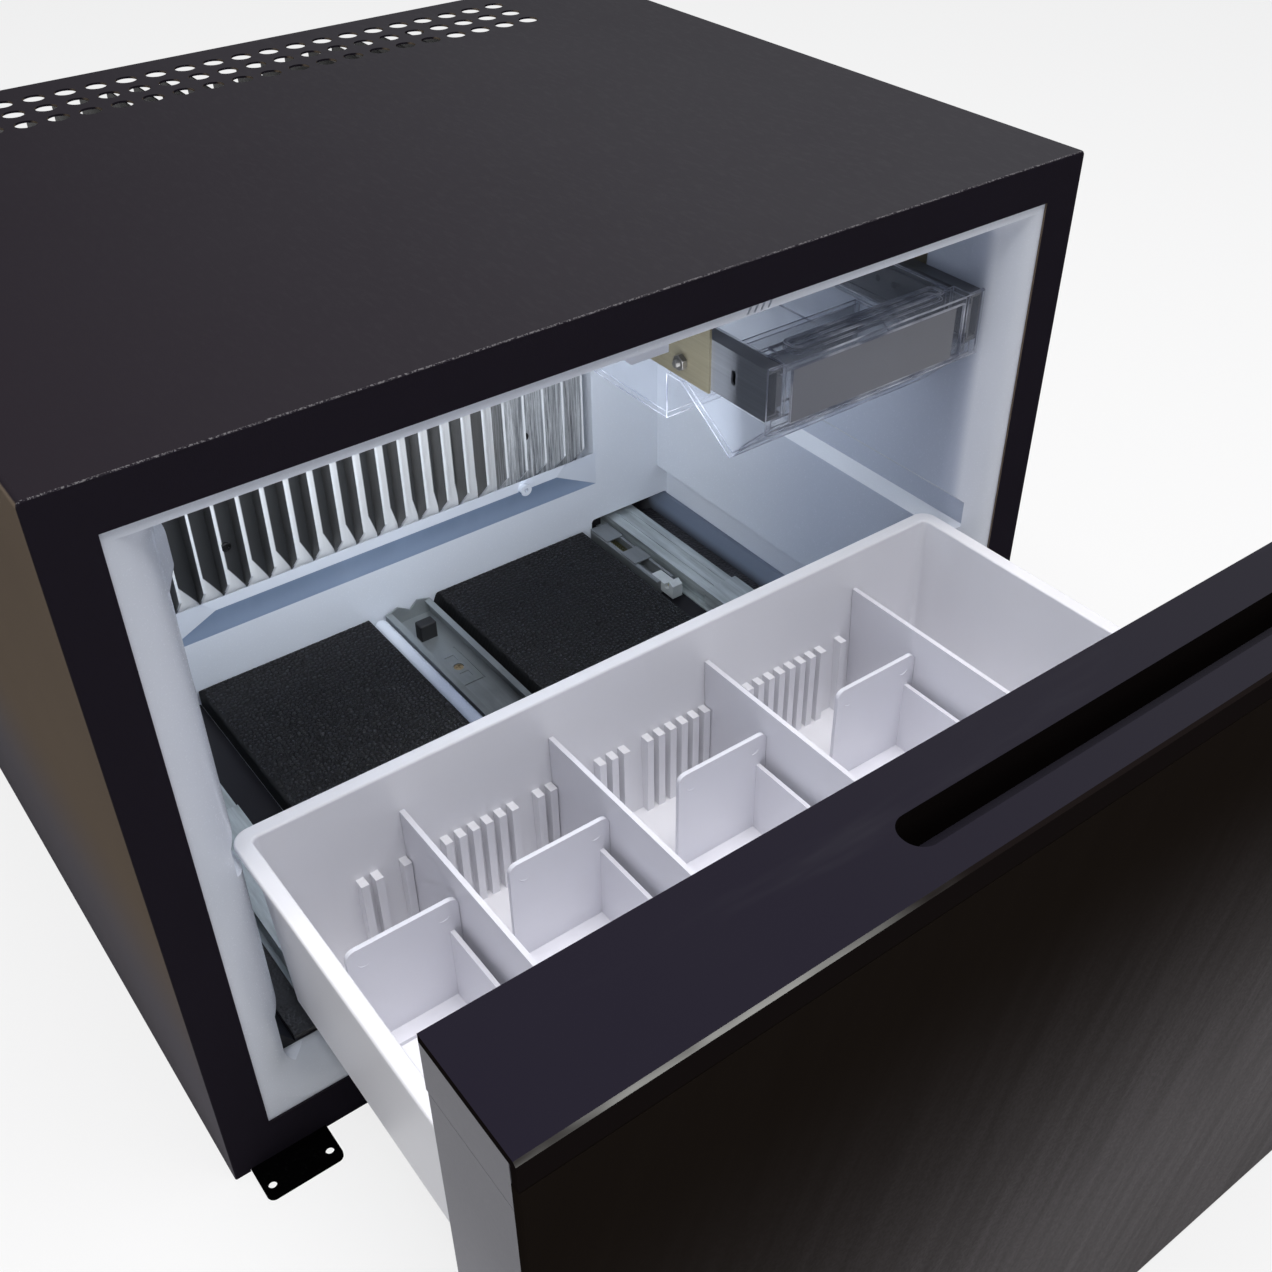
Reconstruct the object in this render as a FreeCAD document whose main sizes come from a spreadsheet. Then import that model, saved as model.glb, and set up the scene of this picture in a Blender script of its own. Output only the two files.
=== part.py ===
import FreeCAD, Part
import math
import os
import Sketcher

# Drawer minibar fridge: a sheet-metal cabinet with a white liner, a finned evaporator and an
# absorption cooling unit behind it, and an insulated drawer front that carries a divided basket
# on three telescopic slides.  The drawer stands open, as in the photograph.
#
# Frame: X to the right, Y to the back, Z up, in millimetres.  The origin is the centre of the
# cabinet's underside, and nothing reaches below it.

SIZES = {
    # cabinet
    "cab_width": 560.0,
    "cab_height": 420.0,
    "cab_depth": 460.0,
    "skin": 1.2,
    "corner_round": 3.0,
    "edge_round": 1.0,
    "border_side": 24.4,
    "border_top": 23.0,
    "border_bottom": 29.7,
    "hem_top": 4.0,
    "hem_side": 12.0,
    # vent holes in the rear of the top
    "vent_bore": 12.7,
    "vent_step_across": 18.6,
    "vent_step_deep": 21.5,
    "vent_to_rear": 27.0,
    # floor opening under the cooling unit
    "floor_vent_inset": 48.0,
    "floor_vent_deep": 70.0,
    "floor_vent_to_rear": 24.0,
    "floor_vent_round": 8.0,
    # insulated box
    "box_depth": 344.0,
    "back_sheet": 1.0,
    "liner_wall": 2.0,
    "mouth_lap": 8.0,
    "mouth_depth": 27.0,
    "mouth_round": 24.0,
    "boss_front": 16.0,
    "boss_back": 46.0,
    "boss_low": 345.0,
    "boss_high": 384.0,
    "boss_out": 5.0,
    "boss_slope": 9.0,
    "boss_round": 8.0,
    "liner_half": 230.5,
    "liner_floor": 54.0,
    "liner_ceiling": 392.0,
    "liner_back": 307.0,
    "liner_corner": 12.0,
    "rim_groove_half": 238.0,
    "rim_groove_low": 190.0,
    "rim_groove_high": 219.0,
    "foot_groove_half": 240.0,
    "foot_groove_high": 98.0,
    "groove_slope": 7.0,
    "groove_start": 9.0,
    "ridge_width": 11.0,
    "ridge_round": 4.5,
    # evaporator in its recess
    "recess_half": 170.5,
    "recess_low": 112.0,
    "recess_high": 382.0,
    "recess_back": 323.0,
    "recess_round": 8.0,
    "niche_in": 167.0,
    "niche_high": 72.0,
    "niche_back": 323.0,
    "niche_round": 3.0,
    "evap_inset": 5.5,
    "evap_low": 121.0,
    "evap_plate": 2.5,
    "fin_depth": 15.5,
    "fin_sheet": 1.6,
    "fin_step": 16.55,
    "fin_last": 160.5,
    "fin_tip_high": 18.0,
    # drip gutter
    "gutter_high": 134.0,
    "gutter_low": 104.0,
    "gutter_out": 4.6,
    "gutter_wall": 1.3,
    "gutter_lip": 8.4,
    "gutter_half": 142.0,
    "gutter_lean": 8.0,
    "gutter_rear_half": 172.0,
    "gutter_rear_high": 131.0,
    "gutter_rise": 3.5,
    "drain_radius": 4.5,
    "drain_bore": 1.6,
    "drain_across": 105.0,
    "drain_out": 4.0,
    "drain_up": 127.5,
    # ceiling housing
    "lamp_left": 110.0,
    "lamp_right": 115.0,
    "lamp_front": 10.0,
    "lamp_deep": 140.0,
    "lamp_drop": 4.0,
    "lamp_low_drop": 9.5,
    "lamp_low_left": -9.3,
    "lamp_low_right": 12.0,
    "lamp_slope": 6.0,
    "lamp_screw_in": 14.0,
    "lamp_screw_step": 10.0,
    "slot_width": 1.5,
    "slot_height": 3.6,
    "slot_lean": 1.8,
    "slot_step": 4.2,
    "slot_across": 50.5,
    "slot_deep": 2.0,
    "slot_edge": 0.6,
    # floor pads and side trays
    "pad_front": 26.0,
    "pad_height": 14.0,
    "pad_round": 5.0,
    "pad_outer": 157.0,
    "pad_slope": 6.0,
    "pad_gap": 1.5,
    "tray_rim": 16.0,
    "tray_rim_wall": 3.0,
    "tray_rim_slope": 9.0,
    "tray_front": 19.0,
    "pan_sheet": 1.0,
    "pan_round": 14.0,
    "mat_high": 3.0,
    "mat_rear": 8.0,
    # fixing brackets
    "bracket_sheet": 2.0,
    "bracket_width": 43.5,
    "bracket_inset": 9.0,
    "bracket_out": 23.0,
    "bracket_under": 40.0,
    "bracket_round": 4.0,
    "bracket_bore": 4.8,
    "bracket_bore_step": 33.0,
    "bracket_bore_out": 14.7,
    "seat_play": 0.3,
    # telescopic slides
    "slide_sheet": 1.2,
    "slide_play": 0.5,
    "slide_length": 290.0,
    "slide_front": 14.0,
    "side_length": 305.0,
    "mid_across": 2.0,
    "mid_half": 18.0,
    "mid_height": 12.0,
    "mid_lip": 4.7,
    "mid_rear_short": 31.0,
    "tab_rise": 3.0,
    "tab_notch": 8.0,
    "slit_half": 9.0,
    "slit_width": 1.2,
    "slit_length": 42.0,
    "side_across": 196.0,
    "side_half": 12.5,
    "side_height": 14.0,
    "side_foot": 4.5,
    "side_groove": 2.0,
    "side_groove_deep": 0.5,
    "side_groove_step": 5.0,
    "side_lift": 3.4,
    # rubber stop on the middle slide
    "stop_width": 13.0,
    "stop_deep": 9.0,
    "stop_height": 13.0,
    "stop_gap": 0.3,
    # soft-closing unit
    "soft_width": 15.0,
    "soft_height": 12.0,
    "soft_length": 86.0,
    "soft_wall": 2.8,
    "soft_floor": 3.0,
    "soft_spring_radius": 3.0,
    "soft_wire": 0.5,
    "soft_spring_length": 34.0,
    "soft_back_wall": 4.0,
    "cover_sheet": 1.0,
    "cover_rear": 22.0,
    "cover_start": 28.0,
    "cover_front": 18.0,
    "catch_length": 26.0,
    "catch_height": 13.0,
    "catch_start": 14.0,
    "catch_hook": 5.0,
    # screws
    "screw_head": 3.4,
    "screw_head_high": 1.6,
    "screw_shank": 1.7,
    # snack tray under the ceiling
    "snack_left": 75.4,
    "snack_right": 229.0,
    "snack_front": 10.0,
    "snack_low": 315.0,
    "snack_top": 352.5,
    "snack_wall": 2.4,
    "snack_hood": 14.0,
    "snack_ledge": 20.0,
    "snack_lip": 3.5,
    "snack_lip_wall": 2.0,
    "snack_lip_back": 5.0,
    "snack_lip_side": 5.0,
    "snack_lip_deep": 12.0,
    "snack_lip_round": 4.0,
    "snack_post": 15.6,
    "snack_v_back": 34.0,
    "snack_v_low": 285.0,
    "snack_ridge_front": 76.0,
    "snack_ridge_back": 89.0,
    "snack_back": 180.0,
    "snack_body_inset": 4.0,
    "panel_sheet": 1.0,
    "panel_margin": 3.0,
    "panel_top_margin": 4.5,
    "panel_width": 116.0,
    "panel_play": 0.1,
    # rails and brackets of the snack tray
    "rail_low": 322.5,
    "rail_height": 29.0,
    "rail_sheet": 1.2,
    "rail_width": 9.5,
    "rail_lip": 3.0,
    "rail_length": 175.0,
    "rail_play": 0.4,
    "rail_slot_back": 25.3,
    "rail_slot_width": 3.4,
    "rail_slot_high": 8.5,
    "rail_bore": 4.0,
    "rail_bore_step": 13.0,
    "hanger_sheet": 1.5,
    "hanger_front": 56.0,
    "hanger_back": 150.0,
    "hanger_low": 320.5,
    "hanger_flange": 12.0,
    "bolt_radius": 4.5,
    "bolt_high": 6.0,
    "bolt_shank": 2.4,
    "bolt_up": 10.0,
    "bolt_back": 22.0,
    # drawer front
    "drawer_open": 266.5,
    "closed_gap": 8.0,
    "door_inset": 2.0,
    "door_low": 4.0,
    "door_thick": 40.5,
    "door_panel": 3.0,
    "door_wall": 2.5,
    "door_seam": 0.3,
    "cap_sheet": 3.0,
    "cap_lip": 7.5,
    "cap_lip_sheet": 2.5,
    "cap_back_lip": 2.5,
    "cap_bevel": 1.0,
    "grip_box": 18.0,
    "grip_half": 150.0,
    "grip_back": 16.5,
    "grip_width": 12.5,
    "grip_deep": 14.0,
    "grip_bottom": 6.0,
    "grip_wall": 1.5,
    "gasket_width": 11.0,
    "gasket_inset": 5.5,
    "gasket_top_inset": 12.0,
    "gasket_play": 0.3,
    "gasket_round": 2.0,
    # basket
    "basket_floor": 84.0,
    "basket_rim": 198.0,
    "basket_half": 221.0,
    "basket_draft": 4.0,
    "basket_rim_half": 231.0,
    "basket_rim_out": 6.0,
    "basket_rim_sheet": 3.0,
    "basket_wall": 2.5,
    "basket_corner": 6.0,
    "basket_rim_corner": 10.0,
    "basket_edge": 1.2,
    "basket_rear": 24.0,
    "basket_front_gap": 12.5,
    "rib_step": 8.2,
    "rib_first": 174.7,
    "rib_width": 4.4,
    "rib_out": 4.5,
    "rib_top": 141.0,
    "keel_width": 16.0,
    "keel_wall": 2.0,
    "keel_roof": 3.0,
    # dividers and separators in the basket
    "divider_sheet": 2.8,
    "divider_top": 172.0,
    "divider_gap": 0.3,
    "divider_1_at": 146.0,
    "divider_2_at": 55.6,
    "divider_3_at": 51.0,
    "divider_4_at": 165.5,
    "separator_sheet": 2.5,
    "separator_width": 61.0,
    "separator_top": 158.0,
    "separator_at": 31.0,
    "separator_round": 5.0,
    "separator_foot": 9.0,
    "separator_leg": 80.0,
    "separator_leg_top": 137.0,
    "separator_leg_in": 4.0,
    # absorption unit behind the box
    "boiler_left": 250.0,
    "boiler_width": 84.0,
    "boiler_deep": 84.0,
    "boiler_low": 58.0,
    "boiler_height": 250.0,
    "boiler_round": 12.0,
    "riser_radius": 9.0,
    "riser_bend": 22.0,
    "condenser_up": 388.0,
    "condenser_back": 82.0,
    "condenser_end": 170.0,
    "condenser_fall": 55.0,
    "cfin_width": 52.0,
    "cfin_height": 46.0,
    "cfin_sheet": 1.0,
    "cfin_step": 17.0,
    "cfin_first": 150.0,
    "coil_radius": 10.0,
    "coil_left": 130.0,
    "coil_right": 215.0,
    "coil_low": 120.0,
    "coil_step": 50.0,
    "coil_back": 50.0,
    "vessel_radius": 30.0,
    "vessel_left": 135.0,
    "vessel_right": 160.0,
    "vessel_up": 66.0,
    "vessel_round": 9.0,
    "strap_width": 20.0,
    "strap_sheet": 2.0,
    "control_left": 190.0,
    "control_width": 78.0,
    "control_deep": 46.0,
    "control_low": 14.0,
    "control_height": 84.0,
    "control_round": 4.0,
    "inlet_width": 27.5,
    "inlet_height": 20.0,
    "inlet_flange": 4.5,
    "inlet_sheet": 2.5,
    "inlet_deep": 18.0,
    "inlet_wall": 2.0,
    "pin_width": 2.0,
    "pin_height": 5.0,
    "pin_long": 13.0,
    "pin_step": 7.0,
    # common
    "overrun": 3.0,
}

VENT_COLUMNS = 21
VENT_ROWS = 3
FIN_COUNT = 20
CONDENSER_FIN_COUNT = 18
COIL_RUNS = 4
SPRING_TURNS = 14
# Ribs on the basket's end walls: first place on the rib grid and how many stand in a row.
RIB_GROUPS = ((0, 2), (3, 1), (6, 6), (13, 2), (18, 3), (22, 6), (31, 8), (40, 1))

doc = FreeCAD.newDocument("drawer_minibar")
sheet = doc.addObject("Spreadsheet::Sheet", "sizes")
for row, (alias, number) in enumerate(SIZES.items(), start=1):
    sheet.set("A%d" % row, alias)
    sheet.set("B%d" % row, str(number))
    sheet.setAlias("B%d" % row, alias)
doc.recompute()


class Size:
    """A length that knows its value and the formula over the sheet that gives it."""

    def __init__(self, value, text):
        self.value = float(value)
        self.text = text

    def __add__(self, other):
        other = size(other)
        return Size(self.value + other.value, "(%s + %s)" % (self.text, other.text))

    def __sub__(self, other):
        other = size(other)
        return Size(self.value - other.value, "(%s - %s)" % (self.text, other.text))

    def __mul__(self, other):
        other = size(other)
        return Size(self.value * other.value, "(%s * %s)" % (self.text, other.text))

    def __truediv__(self, other):
        other = size(other)
        return Size(self.value / other.value, "(%s / %s)" % (self.text, other.text))

    def __radd__(self, other):
        return size(other) + self

    def __rsub__(self, other):
        return size(other) - self

    def __rmul__(self, other):
        return size(other) * self

    def __neg__(self):
        return Size(-self.value, "(-%s)" % self.text)


def size(thing):
    return thing if isinstance(thing, Size) else Size(thing, repr(float(thing)))


class Names:
    """Gives each alias of the sheet as a Size, so that S.skin is the cell named skin."""

    def __getattr__(self, alias):
        return Size(sheet.get(alias), "sizes." + alias)


S = Names()
nodes = []
cuts = []


def keep(thing, label):
    """Marks an object of the document as a finished piece under its node's name."""
    thing.Label = label
    nodes.append(thing)
    return thing


def bind(thing, prop, value):
    thing.setExpression(prop, size(value).text)


def rect(u0, u1, v0, v1):
    return [(u0, v0), (u1, v0), (u1, v1), (u0, v1)]


def mirrored(points):
    """Closes an outline that is given for positive u by its mirror image."""
    return list(points) + [(-size(u), v) for u, v in reversed(points)]


class Round:
    """A rectangle with rounded corners."""

    def __init__(self, u0, u1, v0, v1, radius):
        self.box = [size(side) for side in (u0, u1, v0, v1)]
        self.radius = size(radius)


class Circle:
    def __init__(self, u, v, radius):
        self.centre = (size(u), size(v))
        self.radius = size(radius)


def line(sketch, a, b):
    start = FreeCAD.Vector(a[0], a[1], 0)
    return sketch.addGeometry(Part.LineSegment(start, FreeCAD.Vector(b[0], b[1], 0)), False)


def hold(sketch, kind, geometry, point, value):
    """Holds one coordinate of a sketch point at a size, measured from the sketch's origin."""
    value = size(value)
    index = sketch.addConstraint(Sketcher.Constraint(kind, -1, 1, geometry, point, value.value))
    sketch.setExpression("Constraints[%d]" % index, value.text)


def draw_polygon(sketch, points):
    spots = [(size(u).value, size(v).value) for u, v in points]
    count = len(spots)
    ids = [line(sketch, spots[i], spots[(i + 1) % count]) for i in range(count)]
    for i in range(count):
        after = ids[(i + 1) % count]
        sketch.addConstraint(Sketcher.Constraint("Coincident", ids[i], 2, after, 1))
    for i, (u, v) in enumerate(points):
        hold(sketch, "DistanceX", ids[i], 1, u)
        hold(sketch, "DistanceY", ids[i], 1, v)


def draw_round(sketch, shape):
    u0, u1, v0, v1 = [side.value for side in shape.box]
    r = shape.radius.value
    low, right, high, left = (
        line(sketch, (u0 + r, v0), (u1 - r, v0)),
        line(sketch, (u1, v0 + r), (u1, v1 - r)),
        line(sketch, (u1 - r, v1), (u0 + r, v1)),
        line(sketch, (u0, v1 - r), (u0, v0 + r)),
    )
    turns = []
    spots = ((u1 - r, v0 + r, 3), (u1 - r, v1 - r, 0), (u0 + r, v1 - r, 1), (u0 + r, v0 + r, 2))
    for cu, cv, quarter in spots:
        ring = Part.Circle(FreeCAD.Vector(cu, cv, 0), FreeCAD.Vector(0, 0, 1), r)
        start = quarter * math.pi / 2
        turns.append(sketch.addGeometry(Part.ArcOfCircle(ring, start, start + math.pi / 2), False))
    sides = (low, right, high, left)
    for i in range(4):
        sketch.addConstraint(Sketcher.Constraint("Tangent", sides[i], 2, turns[i], 1))
        sketch.addConstraint(Sketcher.Constraint("Tangent", turns[i], 2, sides[(i + 1) % 4], 1))
    for side in (low, high):
        sketch.addConstraint(Sketcher.Constraint("Horizontal", side))
    for side in (left, right):
        sketch.addConstraint(Sketcher.Constraint("Vertical", side))
    for turn in turns:
        index = sketch.addConstraint(Sketcher.Constraint("Radius", turn, r))
        sketch.setExpression("Constraints[%d]" % index, shape.radius.text)
    hold(sketch, "DistanceX", left, 1, shape.box[0])
    hold(sketch, "DistanceX", right, 1, shape.box[1])
    hold(sketch, "DistanceY", low, 1, shape.box[2])
    hold(sketch, "DistanceY", high, 1, shape.box[3])


def draw_circle(sketch, shape):
    u, v = shape.centre
    centre = FreeCAD.Vector(u.value, v.value, 0)
    ring = Part.Circle(centre, FreeCAD.Vector(0, 0, 1), shape.radius.value)
    index = sketch.addGeometry(ring, False)
    hold(sketch, "DistanceX", index, 3, u)
    hold(sketch, "DistanceY", index, 3, v)
    radius = sketch.addConstraint(Sketcher.Constraint("Radius", index, shape.radius.value))
    sketch.setExpression("Constraints[%d]" % radius, shape.radius.text)


class Piece:
    """A body built from sketches on its own origin planes.

    Outlines lie in XY, XZ or YZ and run between two places on the remaining axis.
    """

    def __init__(self, label):
        self.body = keep(doc.addObject("PartDesign::Body", label), label)
        self.last = None

    def sketch(self, plane, at, outlines):
        sketch = self.body.newObject("Sketcher::SketchObject", self.body.Name + "_sketch")
        role = plane + "_Plane"
        origin = [o for o in self.body.Origin.OriginFeatures if o.Role == role][0]
        sketch.AttachmentSupport = [(origin, "")]
        sketch.MapMode = "FlatFace"
        bind(sketch, "AttachmentOffset.Base.z", -size(at) if plane == "XZ" else at)
        for outline in outlines:
            if isinstance(outline, Round):
                draw_round(sketch, outline)
            elif isinstance(outline, Circle):
                draw_circle(sketch, outline)
            else:
                draw_polygon(sketch, outline)
        return sketch

    def extrude(self, kind, plane, low, high, outlines):
        # The XZ plane faces forward, so its outlines start at the rear end of their run.
        start = high if plane == "XZ" else low
        sketch = self.sketch(plane, start, outlines)
        feature = self.body.newObject("PartDesign::" + kind, self.body.Name + "_" + kind)
        feature.Profile = sketch
        bind(feature, "Length", size(high) - size(low))
        if kind == "Pocket":
            feature.Reversed = True
            cuts.append((feature, self.last))
        self.last = feature
        self.body.Tip = feature
        return feature

    def add(self, plane, low, high, *outlines):
        return self.extrude("Pad", plane, low, high, outlines)

    def cut(self, plane, low, high, *outlines):
        return self.extrude("Pocket", plane, low, high, outlines)

    def loft(self, kind, plane, first, second):
        """Joins two outlines, each given as (place, outline), by a ruled skin."""
        profile = self.sketch(plane, first[0], [first[1]])
        section = self.sketch(plane, second[0], [second[1]])
        feature = self.body.newObject("PartDesign::" + kind, self.body.Name + "_" + kind)
        feature.Profile = profile
        feature.Sections = [section]
        feature.Ruled = True
        if kind == "SubtractiveLoft":
            cuts.append((feature, self.last))
        self.last = feature
        self.body.Tip = feature
        return feature

    def row(self, feature, axis, count, step):
        """Repeats a feature along an axis of the body."""
        pattern = self.body.newObject("PartDesign::LinearPattern", self.body.Name + "_row")
        pattern.Originals = [feature]
        role = axis + "_Axis"
        line_of = [o for o in self.body.Origin.OriginFeatures if o.Role == role][0]
        pattern.Direction = (line_of, [""])
        bind(pattern, "Length", size(step) * (count - 1))
        pattern.Occurrences = count
        self.last = pattern
        self.body.Tip = pattern
        return pattern

    def soften(self, kind, amount, wanted):
        """Fillets or chamfers the edges that a test on their box picks."""
        doc.recompute()
        picked = []
        for index, edge in enumerate(self.last.Shape.Edges, start=1):
            if wanted(edge.BoundBox):
                picked.append("Edge%d" % index)
        feature = self.body.newObject("PartDesign::" + kind, self.body.Name + "_" + kind)
        feature.Base = (self.last, picked)
        bind(feature, "Radius" if kind == "Fillet" else "Size", amount)
        self.last = feature
        self.body.Tip = feature
        return feature

    def round(self, radius, wanted):
        return self.soften("Fillet", radius, wanted)

    def bevel(self, width, wanted):
        return self.soften("Chamfer", width, wanted)


SMALL = 1e-4


def same(a, b):
    return abs(a - size(b).value) < SMALL


def runs(box, axis):
    """True when an edge's box is a straight run along one axis."""
    spans = {"X": box.XLength, "Y": box.YLength, "Z": box.ZLength}
    long = spans.pop(axis)
    return long > SMALL and all(span < SMALL for span in spans.values())


def block(name, x0, x1, y0, y1, z0, z1):
    box = doc.addObject("Part::Box", name)
    bind(box, "Length", size(x1) - size(x0))
    bind(box, "Width", size(y1) - size(y0))
    bind(box, "Height", size(z1) - size(z0))
    bind(box, "Placement.Base.x", x0)
    bind(box, "Placement.Base.y", y0)
    bind(box, "Placement.Base.z", z0)
    return box


TURN = {
    "Z": FreeCAD.Rotation(),
    "X": FreeCAD.Rotation(FreeCAD.Vector(0, 1, 0), 90),
    "Y": FreeCAD.Rotation(FreeCAD.Vector(1, 0, 0), -90),
}


def rod(name, axis, x, y, z, radius, length, corners=None):
    """A round bar, or a prism with flat sides, that starts at a point and runs along an axis."""
    if corners:
        bar = doc.addObject("Part::Prism", name)
        bar.Polygon = corners
        bind(bar, "Circumradius", radius)
    else:
        bar = doc.addObject("Part::Cylinder", name)
        bind(bar, "Radius", radius)
    bind(bar, "Height", length)
    bar.Placement.Rotation = TURN[axis]
    bind(bar, "Placement.Base.x", x)
    bind(bar, "Placement.Base.y", y)
    bind(bar, "Placement.Base.z", z)
    return bar


def join(name, items):
    group = doc.addObject("Part::MultiFuse", name)
    group.Shapes = items
    return group


def gather(name, items):
    """Holds several loose pieces of one kind."""
    group = doc.addObject("Part::Compound", name)
    group.Links = items
    return group


def mirror(source, label):
    """The same piece on the other side of the middle plane."""
    twin = doc.addObject("Part::Mirroring", label)
    twin.Source = source
    twin.Normal = FreeCAD.Vector(1, 0, 0)
    return keep(twin, label)


def bent_tube(name, points, radius, bend):
    """A tube of straight runs and tangent bends through points given in named sizes."""
    spots = [FreeCAD.Vector(*[size(c).value for c in point]) for point in points]
    r = size(bend).value
    edges = []
    at = spots[0]
    for before, corner, after in zip(spots, spots[1:], spots[2:]):
        back = (before - corner).normalize()
        on = (after - corner).normalize()
        half_turn = math.pi / 2 - back.getAngle(on) / 2
        reach = r * math.tan(half_turn)
        start = corner + back * reach
        end = corner + on * reach
        middle = (back + on).normalize()
        crown = corner + middle * (r / math.cos(half_turn) - r)
        edges.append(Part.LineSegment(at, start).toShape())
        edges.append(Part.Arc(start, crown, end).toShape())
        at = end
    edges.append(Part.LineSegment(at, spots[-1]).toShape())
    path = Part.Wire(edges)
    facing = (spots[1] - spots[0]).normalize()
    ring = Part.Wire(Part.Circle(spots[0], facing, size(radius).value).toShape())
    tube = doc.addObject("Part::Feature", name)
    tube.Shape = path.makePipeShell([ring], True, True)
    return tube


def shift(rear):
    """A place along the depth, measured back from the front of the cabinet."""
    return front + rear


# Share of a slot's or a ridge's width that rounds its ends.
end_share = 0.48

front = -S.cab_depth / 2
back = S.cab_depth / 2
half = S.cab_width / 2
inside = half - S.skin
top = S.cab_height
mouth_half = half - S.border_side
mouth_low = S.border_bottom
mouth_high = top - S.border_top

# Outer casing: one folded sheet makes the top, both sides and the mitred front border.
casing = Piece("outer_casing")
wrap = [(inside, 0), (half, 0), (half, top), (-half, top), (-half, 0), (-inside, 0),
        (-inside, top - S.skin), (inside, top - S.skin)]
casing.add("XZ", front, back, wrap)
border = [(half, 0), (half, top), (-half, top), (-half, 0), (-mouth_half, mouth_low),
          (-mouth_half, mouth_high), (mouth_half, mouth_high), (mouth_half, mouth_low)]
casing.add("XZ", front, front + S.skin, border)
rear_hems = (rect(-inside, inside, top - S.skin - S.hem_top, top - S.skin),
             rect(-inside, -inside + S.hem_side, S.skin, top - S.skin - S.hem_top),
             rect(inside - S.hem_side, inside, S.skin, top - S.skin - S.hem_top))
for hem in rear_hems:
    casing.add("XZ", back - S.skin, back, hem)
casing.round(S.corner_round, lambda b: runs(b, "Y") and same(b.ZMin, top)
             and b.YLength > S.cab_depth.value / 2)
casing.round(S.edge_round, lambda b: same(b.YMin, front) and same(b.YMax, front)
             and (same(b.ZMin, top) or same(b.XMin, half) or same(b.XMax, -half)
                  or (b.ZMax > (top - S.corner_round - S.skin).value
                      and b.XLength < S.corner_round.value * 2 and b.ZLength > SMALL)))
vent_left = -S.vent_step_across * (VENT_COLUMNS - 1) / 2
vent_spots = [Circle(vent_left, back - S.vent_to_rear - S.vent_step_deep * k, S.vent_bore / 2)
              for k in range(VENT_ROWS)]
vents = casing.cut("XY", top - S.skin - S.overrun, top + S.overrun, *vent_spots)
casing.row(vents, "X", VENT_COLUMNS, S.vent_step_across)

# Bottom plate: closes the box below, carries the lower border and is open under the unit.
bottom = Piece("bottom_plate")
vent_back = back - S.floor_vent_to_rear
bottom.add("XY", 0, S.skin, rect(-inside, inside, front + S.skin, back))
mitre = S.skin * S.border_bottom / S.border_side
lower_border = [(-inside, 0), (inside, 0), (inside, mitre), (mouth_half, mouth_low),
                (-mouth_half, mouth_low), (-inside, mitre)]
bottom.add("XZ", front, front + S.skin, lower_border)
bottom.cut("XY", -S.overrun, S.skin + S.overrun,
           Round(-inside + S.floor_vent_inset, inside - S.floor_vent_inset,
                 vent_back - S.floor_vent_deep, vent_back, S.floor_vent_round))

# Fixing brackets: flat black plates with two screw holes each, held in pressed seats of the
# bottom plate, so that they lie flush with the cabinet's underside.
hole_row = front - S.bracket_bore_out
bracket_left = -half + S.bracket_inset
bracket_right = bracket_left + S.bracket_width
bracket_mid = (bracket_left + bracket_right) / 2
bracket_rear = front + S.bracket_under
seat_wall = S.seat_play + S.skin
seat_high = S.bracket_sheet + S.skin
seats = ((bracket_left, bracket_right), (-bracket_right, -bracket_left))
for near, far in seats:
    bottom.add("XY", 0, seat_high,
               rect(near - seat_wall, far + seat_wall, front + S.skin, bracket_rear + seat_wall))
for near, far in seats:
    bottom.cut("XY", -S.overrun, S.bracket_sheet,
               rect(near - S.seat_play, far + S.seat_play, front - S.overrun,
                    bracket_rear + S.seat_play))
bracket = Piece("fixing_bracket_left")
bracket.add("XY", 0, S.bracket_sheet,
            Round(bracket_left, bracket_right, front - S.bracket_out, bracket_rear,
                  S.bracket_round))
bracket.cut("XY", -S.overrun, S.bracket_sheet + S.overrun,
            Circle(bracket_mid - S.bracket_bore_step / 2, hole_row, S.bracket_bore / 2),
            Circle(bracket_mid + S.bracket_bore_step / 2, hole_row, S.bracket_bore / 2))
mirror(bracket.body, "fixing_bracket_right")

# Inner liner: a white formed tub.  Its mouth rolls outward behind the border, the side walls
# have a groove for the basket's rim and a wider foot for the slides, and the back wall steps
# back behind the evaporator.


def tub_outline(grow):
    """The side walls' steps, from the floor up, moved outward by the sheet's thickness."""
    slope = S.groove_slope
    right = [
        (S.foot_groove_half + grow, S.liner_floor - grow),
        (S.foot_groove_half + grow, S.foot_groove_high - slope),
        (S.liner_half + grow, S.foot_groove_high),
        (S.liner_half + grow, S.rim_groove_low),
        (S.rim_groove_half + grow, S.rim_groove_low + slope),
        (S.rim_groove_half + grow, S.rim_groove_high - slope),
        (S.liner_half + grow, S.rim_groove_high),
    ]
    return mirrored(right)


liner = Piece("inner_liner")
wall = S.liner_wall
mouth_back = front + S.mouth_depth
tub_back = front + S.liner_back
liner.add("XZ", front + S.skin, mouth_back,
          rect(-mouth_half - S.mouth_lap, mouth_half + S.mouth_lap, mouth_low - S.mouth_lap,
               top - S.skin - S.back_sheet))
liner.add("XZ", mouth_back, tub_back + wall,
          rect(-S.liner_half - wall, S.liner_half + wall, S.liner_floor - wall,
               S.liner_ceiling + wall))
liner.add("XZ", mouth_back, tub_back + wall, tub_outline(wall))
liner.add("XZ", tub_back, front + S.recess_back + wall,
          rect(-S.recess_half - wall, S.recess_half + wall, S.recess_low - wall,
               S.recess_high + wall))
liner.cut("XZ", front, tub_back,
          Round(-S.liner_half, S.liner_half, S.liner_floor, S.liner_ceiling, S.liner_corner))
liner.round(S.mouth_round, lambda b: same(b.YMin, front + S.skin) and same(b.YMax, front + S.skin)
            and b.XMax < (S.liner_half + S.skin).value and b.XMin > -(S.liner_half + S.skin).value)
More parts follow.
